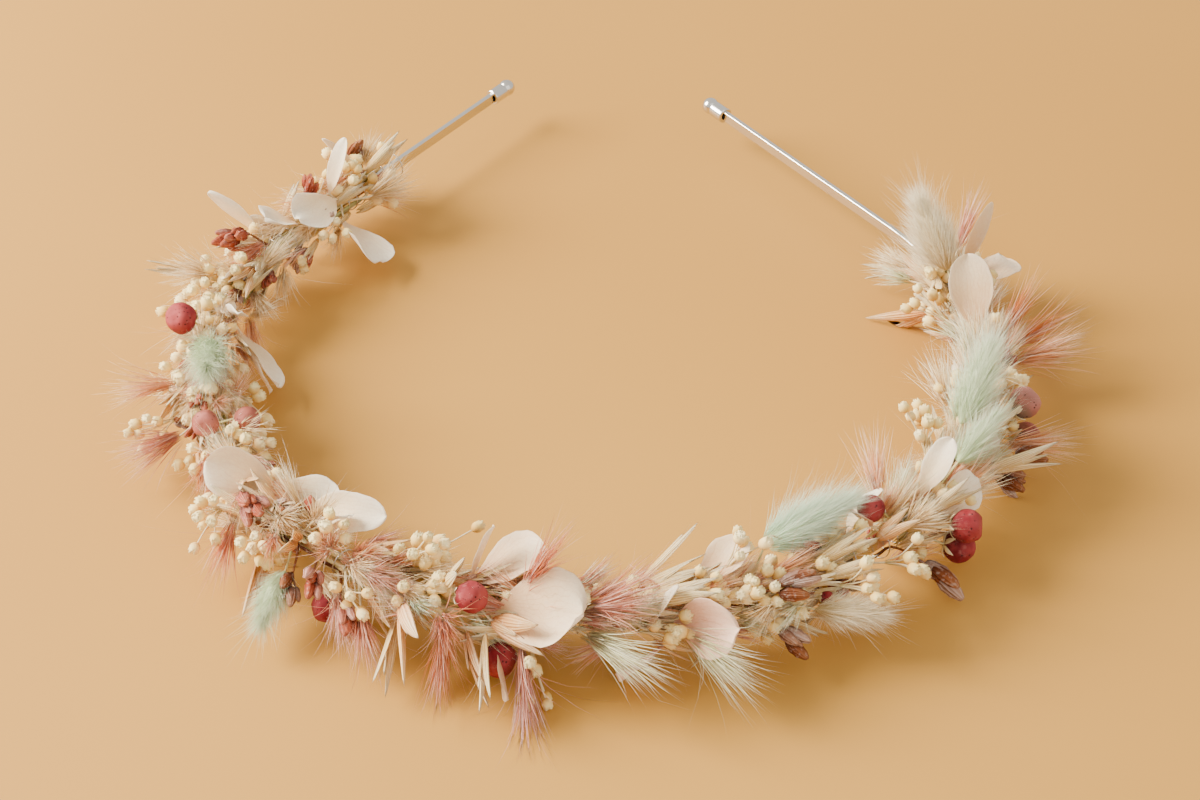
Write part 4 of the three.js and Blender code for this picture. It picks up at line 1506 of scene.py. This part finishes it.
OWN_FINISH = {
    "berries_left": BERRY_DULL,
    "berries_right_back": BERRY_DULL,
    "tail_front_right_aqua": TAIL_AQUA,
    "tail_front_right_cream": TAIL_CREAM,
    "tail_right_back_cream": TAIL_CREAM,
    "tuft_left_peach": GRASS_PEACH,
    "tuft_front_left": GRASS_MAUVE,
    "tuft_front_mauve": GRASS_MAUVE,
    "tuft_front_green": GRASS_GREEN,
    "tuft_right_peach": GRASS_PEACH,
    "tuft_right_back": GRASS_ORANGE,
    "pods_left_front": POD_ROSE,
    "pods_left_back": POD_ROSE,
    "floret_left_end": PETAL_WHITE,
    "floret_left": PETAL_WHITE,
    "floret_left_front": PETAL_WHITE,
    "petal_left_pointing": PETAL_WHITE,
    "floret_right": PETAL_WHITE,
    "floret_right_end": PETAL_BLUSH,
    "floret_front_right": PETAL_PINK,
    "oats_front_right": OAT_CREAM,
}


@dataclass
class Strip:
    """The springy strip, in two halves that meet at the front, and its ball ends.

    Attributes:
        thick: across the strip.
        high: it stands on edge.
        bevel: at its edges.
        ball: radius of the ball ends.
        collar: radius of the collars.
        collar_long: their length.
        in_collar: how much of the strip each takes.
    """

    thick: float = 1.0 * MM
    high: float = 2.2 * MM
    bevel: float = 0.18 * MM
    ball: float = 1.75 * MM
    collar: float = 1.62 * MM
    collar_long: float = 4.0 * MM
    in_collar: float = 2.5 * MM

    def build(self) -> None:
        """Makes the strip and its ends."""
        self.half("strip_left", 0.0, BAND.left_end, ("band_left_arm",))
        self.half("strip_right", 0.0, BAND.right_end,
            ("band_right_arm", "band_middle"))
        self.end("ball_left", BAND.left_end, -1, "left_arm", "ball_end_left")
        self.end("ball_right", BAND.right_end, 1, "right_arm", "ball_end_right")

    def half(self, name: str, start: float, end: float, nodes: Sequence[str]) -> None:
        """One half of the strip.

        Args:
            name: the piece's name.
            start: where it begins along the strip.
            end: where it ends.
            nodes: the fixed nodes that it stands for.
        """
        work = bmesh.new()
        bmesh.ops.create_cube(work, size=1.0)
        bmesh.ops.scale(work, vec=(self.thick, self.high, 1.0), verts=work.verts)
        bmesh.ops.translate(work, vec=(0, 0, 0.5), verts=work.verts)
        edges = [e for e in work.edges if abs(e.verts[0].co.z - e.verts[1].co.z) > 0.5]
        bmesh.ops.bevel(
            work, geom=edges, offset=self.bevel, segments=3, profile=0.5, affect="EDGES",
            material=-1
        )
        rows = 150
        for i in range(1, rows):
            geometry = [*work.verts, *work.edges, *work.faces]
            bmesh.ops.bisect_plane(work, geom=geometry, plane_co=(0, 0, i / rows),
                plane_no=(0, 0, 1), dist=1e-7)
        for vert in work.verts:
            spot = BAND.station(start + (end - start) * vert.co.z)
            vert.co = Vector(spot.place + spot.outward * vert.co.x + UP * vert.co.y)
        bmesh.ops.recalc_face_normals(work, faces=work.faces)
        for face in work.faces:
            face.smooth = True
        for edge in work.edges:
            edge.smooth = edge.calc_face_angle(0.0) < math.radians(12)
        piece = self.piece(name, work)
        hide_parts(*nodes)
        hinge = BAND.flex if end > 0 else -BAND.flex
        spread = 12 * MM if end > 0 else -12 * MM
        edges_of_bend = [tuple(BAND.station(hinge + shift).place) for shift in (-spread, spread)]
        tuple(edges_of_bend[0])
        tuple(edges_of_bend[1])
        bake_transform(piece)

    def end(self, name: str, along: float, side: int, body: str, node: str) -> None:
        """A collar with a ball on it, turned from one profile.

        Args:
            name: the piece's name.
            along: where the strip ends.
            side: 1 at the right end, -1 at the left.
            body: the body that it rides on.
            node: the fixed node that it stands for.
        """
        middle = self.collar_long + self.ball * 0.62
        points = [(0, self.in_collar), (0.95 * MM, self.in_collar), (0.95 * MM, 0.05 * MM),
            (1.05 * MM, 0)]
        points += [(self.collar - 0.15 * MM, 0), (self.collar, 0.15 * MM),
            (self.collar, self.collar_long - 0.55 * MM)]
        points += [(self.collar - 0.2 * MM, self.collar_long - 0.35 * MM)]
        for degrees in range(-50, 91, 10):
            turn = math.radians(degrees)
            points.append((max(self.ball * math.cos(turn), 0.0),
                    middle + self.ball * math.sin(turn)))
        work = bmesh.new()
        verts = [work.verts.new((r, 0, z)) for r, z in points]
        for first, second in zip(verts, verts[1:]):
            work.edges.new((first, second))
        bmesh.ops.spin(
            work, geom=[*work.verts, *work.edges], cent=(0, 0, 0), axis=(0, 0, 1), angle=TURN,
            steps=40, use_merge=True
        )
        bmesh.ops.remove_doubles(work, verts=work.verts, dist=1e-6)
        bmesh.ops.recalc_face_normals(work, faces=work.faces)
        for face in work.faces:
            face.smooth = True
        for edge in work.edges:
            edge.smooth = edge.calc_face_angle(0.0) < math.radians(35)
        spot = BAND.station(along)
        ahead = spot.forward * side
        start = spot.place - ahead * self.in_collar
        turn = Matrix((*zip(UP, np.cross(ahead, UP), ahead),)).to_4x4()
        bmesh.ops.transform(work, matrix=Matrix.Translation(Vector(start)) @ turn, verts=work.verts)
        bmesh.ops.recalc_face_normals(work, faces=work.faces)
        piece = self.piece(name, work)
        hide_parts(node)
        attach(piece, body)

    def piece(self, name: str, work: bmesh.types.BMesh) -> bpy.types.Object:
        """The finished object of one steel piece."""
        mesh = bpy.data.meshes.new(name)
        work.to_mesh(mesh)
        work.free()
        mesh.materials.append(STEEL.material())
        piece = bpy.data.objects.new(name, mesh)
        bpy.context.scene.collection.objects.link(piece)
        LOG.info("%s: %d faces", name, len(mesh.polygons))
        return piece


@dataclass
class Binding:
    """The fine wire and the stems that it holds, one length of each for every body.

    Attributes:
        wire: the wire's radius.
        ring: how far from the strip's middle it runs.
        stems: not used.
    """

    wire: float = 0.13 * MM
    ring: float = 2.45 * MM
    stems: int = 14

    def build(self) -> None:
        """Makes the three lengths."""
        first, last = BAND.first_turn * BAND.pitch, BAND.last_turn * BAND.pitch
        gap = 1.6 * MM
        lengths = {
            "middle": (-BAND.flex + gap, BAND.flex - gap, "binding_middle"),
            "left_arm": (first, -BAND.flex - gap, "binding_left"),
            "right_arm": (BAND.flex + gap, last, "binding_right"),
        }
        for body, (start, end, node) in lengths.items():
            self.wind(body, start, end, node)
            self.bundle(body, start, end)

    def wind(self, body: str, start: float, end: float, node: str) -> None:
        """Winds the wire over one body's length.

        Args:
            body: the body.
            start: where it begins.
            end: where it ends.
            node: the fixed node that it stands for.
        """
        bunch = Bunch(f"wire_{body}")
        pitch = BAND.pitch / 3
        count = int(abs(end - start) / pitch)
        for i in range(count):
            steps = np.linspace(start + i * pitch, start + (i + 1.05) * pitch, 18)
            ring = self.ring * bunch.rng.uniform(0.94, 1.1)
            spots = [BAND.station(along) for along in steps]
            turns = steps / pitch * 360
            points = np.array([s.place + s.around(turn) * ring for s, turn in zip(spots, turns)])
            bunch.lay(WINDING, points, spots[0].forward, steady(self.wire), steady(self.wire), WIRE)
        bunch.finish(body, "binding_wire", (node,))

    def bundle(self, body: str, start: float, end: float) -> None:
        """Lays the bare stems round the strip of one body.

        Args:
            body: the body.
            start: where they begin.
            end: where they end.
        """
        bunch = Bunch(f"stems_{body}")
        for i in range(int(abs(end - start) / (2.2 * MM))):
            begin = start + i * 2.2 * MM
            finish = min(begin + bunch.rng.uniform(14, 26) * MM, end)
            roll = bunch.rng.uniform(0, 360)
            points = BAND.line(begin, finish, 7, roll, bunch.rng.uniform(1.65, 2.15) * MM)
            width = steady(bunch.rng.uniform(0.25, 0.42) * MM)
            look = STALK_GREEN if bunch.rng.random() < 0.4 else STALK_STRAW
            bunch.lay(STALK, points, UP, width, width, look)
        bunch.finish(body, "broom_bloom")


WINDING = Template("winding_unit", rod_shape(6, 18))


@dataclass(frozen=True)
class Stretch:
    """What is tucked in over one stretch of the strip.

    Attributes:
        last: the turn of binding where it ends.
        kinds: how often each kind comes, as shares that add up to one.
        grass: finishes of its grass, the usual one several times over.
        husks: finishes of its husks.
        chips: finishes of its small petals.
    """

    last: float
    kinds: dict[Kind, float]
    grass: tuple[Finish, ...]
    husks: tuple[Finish, ...] = (HUSK_PEACH, OAT_CREAM)
    chips: tuple[Finish, ...] = (PETAL_WHITE, PETAL_BLUSH)


STRETCHES = (
    Stretch(
        -21.5,
        {Kind.BROOM: 0.24, Kind.OAT: 0.14, Kind.TUFT: 0.40, Kind.HUSK: 0.04, Kind.PODS: 0.12,
            Kind.PETAL: 0.06},
        (GRASS_CREAM, GRASS_CREAM, GRASS_PEACH),
        (OAT_CREAM,),
    ),
    Stretch(
        -12.5,
        {Kind.BROOM: 0.30, Kind.OAT: 0.12, Kind.TUFT: 0.44, Kind.HUSK: 0.07, Kind.PODS: 0.03,
            Kind.PETAL: 0.04},
        (GRASS_CREAM, GRASS_CREAM, GRASS_CREAM, GRASS_PEACH, GRASS_PEACH, GRASS_CORAL),
    ),
    Stretch(
        -4.5,
        {Kind.BROOM: 0.15, Kind.OAT: 0.14, Kind.TUFT: 0.45, Kind.HUSK: 0.13, Kind.PODS: 0.10,
            Kind.PETAL: 0.03},
        (GRASS_CREAM, GRASS_PEACH, GRASS_CORAL, GRASS_MAUVE, GRASS_CREAM, GRASS_ORANGE),
    ),
    Stretch(
        2.5,
        {Kind.BROOM: 0.12, Kind.OAT: 0.12, Kind.TUFT: 0.60, Kind.HUSK: 0.14, Kind.PODS: 0.02},
        (GRASS_MAUVE, GRASS_CORAL, GRASS_MAUVE, GRASS_CREAM, GRASS_PEACH, GRASS_GREEN),
    ),
    Stretch(
        7.5,
        {Kind.BROOM: 0.30, Kind.OAT: 0.18, Kind.TUFT: 0.30, Kind.HUSK: 0.07, Kind.PODS: 0.15},
        (GRASS_CREAM, GRASS_CREAM, GRASS_GREEN, GRASS_PEACH),
        (OAT_CREAM, HUSK_PEACH),
    ),
    Stretch(
        20.0,
        {Kind.BROOM: 0.24, Kind.OAT: 0.17, Kind.TUFT: 0.46, Kind.HUSK: 0.05, Kind.PODS: 0.03,
            Kind.PETAL: 0.05},
        (GRASS_CREAM, GRASS_CREAM, GRASS_CREAM, GRASS_PEACH, GRASS_GREEN),
        (OAT_CREAM, OAT_CREAM, HUSK_PEACH),
    ),
)
BIT_SIZES = {
    Kind.BROOM: (6.5, 4.5, 4.0),
    Kind.OAT: (9.5, 2.2, 1.4),
    Kind.TUFT: (9.0, 3.2, 3.0),
    Kind.HUSK: (8.5, 2.6, 1.4),
    Kind.PODS: (6.0, 4.0, 3.4),
    Kind.PETAL: (6.0, 3.6, 0.4),
}


@dataclass
class Filler:
    """The small bits tucked in all along the binding, which hide the stems.

    Attributes:
        per_turn: how many go under each turn of binding.
        lowest: the lowest roll at which one starts, in degrees.
        highest: the highest.
        nearest: how far from the strip's middle the innermost start, in millimetres.
        furthest: how far the outermost start.
        back: how often one points to the left end.
        back_at_end: how often near the left end.
        end_turns: how many turns count as near the left end.
        bare_before: turns left free before the first bit.
        bare_after: turns left free after the last one.
        smallest: the least size of a bit, as a share of its kind's.
        largest: the greatest.
        flattest: the least lean, in degrees.
        steepest: the greatest.
        most_spin: how far a petal's chip is turned about its stem, in degrees.
        behind: how far a bit reaches behind its start, in millimetres.
        reach: how far it reaches ahead, as a share of its length along the strip.
        spare: what is added to that, in millimetres.
        seed: of the random numbers.
    """

    per_turn: int = 14
    lowest: float = -60.0
    highest: float = 230.0
    nearest: float = 2.3
    furthest: float = 4.4
    back: float = 0.15
    back_at_end: float = 0.65
    end_turns: int = 3
    bare_before: float = 0.3
    bare_after: float = 0.9
    smallest: float = 0.8
    largest: float = 1.25
    flattest: float = 3.0
    steepest: float = 42.0
    most_spin: float = 50.0
    behind: float = 0.6
    reach: float = 1.2
    spare: float = 1.5
    seed: int = 11

    def build(self) -> None:
        """Tucks small bits in turn by turn, one piece for each body and kind."""
        bunches: dict[tuple[str, Kind], Bunch] = {}
        rng = np.random.default_rng(self.seed)
        first, last = BAND.first_turn + self.bare_before, BAND.last_turn - self.bare_after
        for turn in np.arange(first, last, 1 / self.per_turn):
            stretch = next(s for s in STRETCHES if turn < s.last)
            kinds = list(stretch.kinds)
            kind = kinds[rng.choice(len(kinds), p=list(stretch.kinds.values()))]
            sprig, head = self.bit(kind, stretch, float(turn), rng)
            if self.crosses(sprig, head):
                sprig.back = not sprig.back
            if self.crosses(sprig, head):
                continue
            key = (sprig.body(), kind)
            if key not in bunches:
                bunches[key] = Bunch(f"tucked_{kind.name.lower()}_{sprig.body()}")
            head = sprig.sized(head)
            Grower(bunches[key]).head(kind, sprig.frame(head), head)
        for (body, kind), bunch in bunches.items():
            bunch.finish(body, kind.slot)

    def bit(self, kind: Kind, stretch: Stretch, turn: float,
        rng: np.random.Generator) -> tuple[Sprig, Head]:
        """One small bit.

        Args:
            kind: what it is.
            stretch: where it is.
            turn: the turn of binding that holds it.
            rng: the random numbers.

        Returns:
            The sprig and its only head.
        """
        roll = float(rng.uniform(self.lowest, self.highest))
        near_end = turn < BAND.first_turn + self.end_turns
        back = bool(rng.random() < (self.back_at_end if near_end else self.back))
        looks = {Kind.TUFT: stretch.grass, Kind.HUSK: stretch.husks, Kind.PETAL: stretch.chips}
        looks[Kind.PODS] = (POD_BROWN, POD_ROSE)
        choice = looks.get(kind, (USUAL_FINISH[kind],))
        look = choice[rng.integers(len(choice))]
        grow = rng.uniform(self.smallest, self.largest)
        sizes = [size * grow for size in BIT_SIZES[kind]]
        lean = float(rng.uniform(self.flattest, self.steepest))
        chip = kind is Kind.PETAL
        spin = float(rng.uniform(-self.most_spin, self.most_spin)) if chip else 0.0
        out = float(rng.uniform(self.nearest, self.furthest))
        return Sprig("bit", kind, turn, roll, [], back, extra=True), Head(roll, lean, *sizes,
            spin, finish=look, out=out)

    def crosses(self, sprig: Sprig, head: Head) -> bool:
        """True where a head would reach over a hinge."""
        start = sprig.along()
        behind = start - sprig.way() * self.behind * MM
        flat = math.cos(math.radians(head.lean))
        ahead = start + sprig.way() * (head.long * flat * self.reach + self.spare) * MM
        return BAND.body(behind) != BAND.body(ahead)


@dataclass
class Studio:
    """The pale floor, soft light and camera.

    Attributes:
        target: what the camera looks at.
        distance: of the camera from it.
        height: angle of the camera over the floor, in degrees.
        lens: focal length in millimetres, for a sensor of that width.
        sensor: the sensor's width, in millimetres.
        table_size: of the table top.
        table_dark: the darker of its two tones.
        table_light: the lighter.
        table_rough: its roughness.
        room_tint: colour of the light from everywhere.
        room_strength: its strength.
    """

    target: tuple[float, float, float] = (-0.0011, -0.0046, 0.0)
    distance: float = 0.45
    height: float = 38.0
    lens: float = 73.5
    sensor: float = 36.0
    table_size: float = 6.0
    table_dark: Colour = colour(186, 133, 50)
    table_light: Colour = colour(194, 142, 58)
    table_rough: float = 0.7
    room_tint: Colour = (1.0, 0.95, 0.86)
    room_strength: float = 0.95

    def build(self) -> None:
        """Makes all of it."""
        self.floor()
        self.world()
        self.lamp("window", (-0.90, 0.10, 0.60), 0.6, 46.0, (1.0, 0.94, 0.84))
        self.lamp("fill", (0.45, -0.85, 0.7), 1.2, 4.0, (1.0, 0.94, 0.86))
        self.camera()

    def floor(self) -> None:
        """A wide plain table top."""
        work = bmesh.new()
        bmesh.ops.create_grid(work, x_segments=2, y_segments=2, size=self.table_size)
        mesh = bpy.data.meshes.new("table_top")
        work.to_mesh(mesh)
        work.free()
        nodes = Nodes("table_pale")
        tone = nodes.noise(3.0, 2.0).between(0.3, 0.7)
        nodes.set(Base_Color=nodes.mix(tone, self.table_dark, self.table_light),
            Roughness=self.table_rough)
        mesh.materials.append(nodes.material)
        top = bpy.data.objects.new("table_top", mesh)
        bpy.context.scene.collection.objects.link(top)

    def world(self) -> None:
        """Soft light from everywhere."""
        world = bpy.data.worlds.new("soft_room")
        world.use_nodes = True
        back = world.node_tree.nodes["Background"]
        back.inputs["Color"].default_value = (*self.room_tint, 1.0)
        back.inputs["Strength"].default_value = self.room_strength
        bpy.context.scene.world = world

    def lamp(self, name: str, place: Sequence[float], size: float, power: float,
        tint: Colour) -> None:
        """A large soft lamp that faces the crown.

        Args:
            name: its name.
            place: where it hangs.
            size: the length of its side.
            power: in watts.
            tint: its colour.
        """
        light = bpy.data.lights.new(name, "AREA")
        light.size = size
        light.energy = power
        light.color = tint
        lamp = bpy.data.objects.new(name, light)
        lamp.location = place
        lamp.rotation_euler = (Vector((0, 0, 0)) - Vector(place)).to_track_quat("-Z",
            "Y").to_euler()
        bpy.context.scene.collection.objects.link(lamp)

    def camera(self) -> None:
        """The camera, over the front of the crown."""
        lens = bpy.data.cameras.new("camera")
        lens.lens = self.lens
        lens.sensor_width = self.sensor
        lens.clip_start = 0.01
        camera = bpy.data.objects.new("camera", lens)
        turn = math.radians(self.height)
        away = Vector((0, -math.cos(turn), math.sin(turn))) * self.distance
        camera.location = Vector(self.target) + away
        camera.rotation_euler = (-away).to_track_quat("-Z", "Y").to_euler()
        bpy.context.scene.collection.objects.link(camera)
        bpy.context.scene.camera = camera


def main() -> None:
    """Builds the crown from the strip outwards, then the room."""
    logging.basicConfig(level=logging.INFO, format="%(name)s %(message)s")
    for sprig in SPRIGS:
        sprig.finish = OWN_FINISH.get(sprig.name)
    Studio().build()
    Strip().build()
    Binding().build()
    for sprig in LOOSE:
        sprig.extra = True
    Garland(SPRIGS + LOOSE).build()
    Filler().build()


if __name__ == "__main__":
    main()
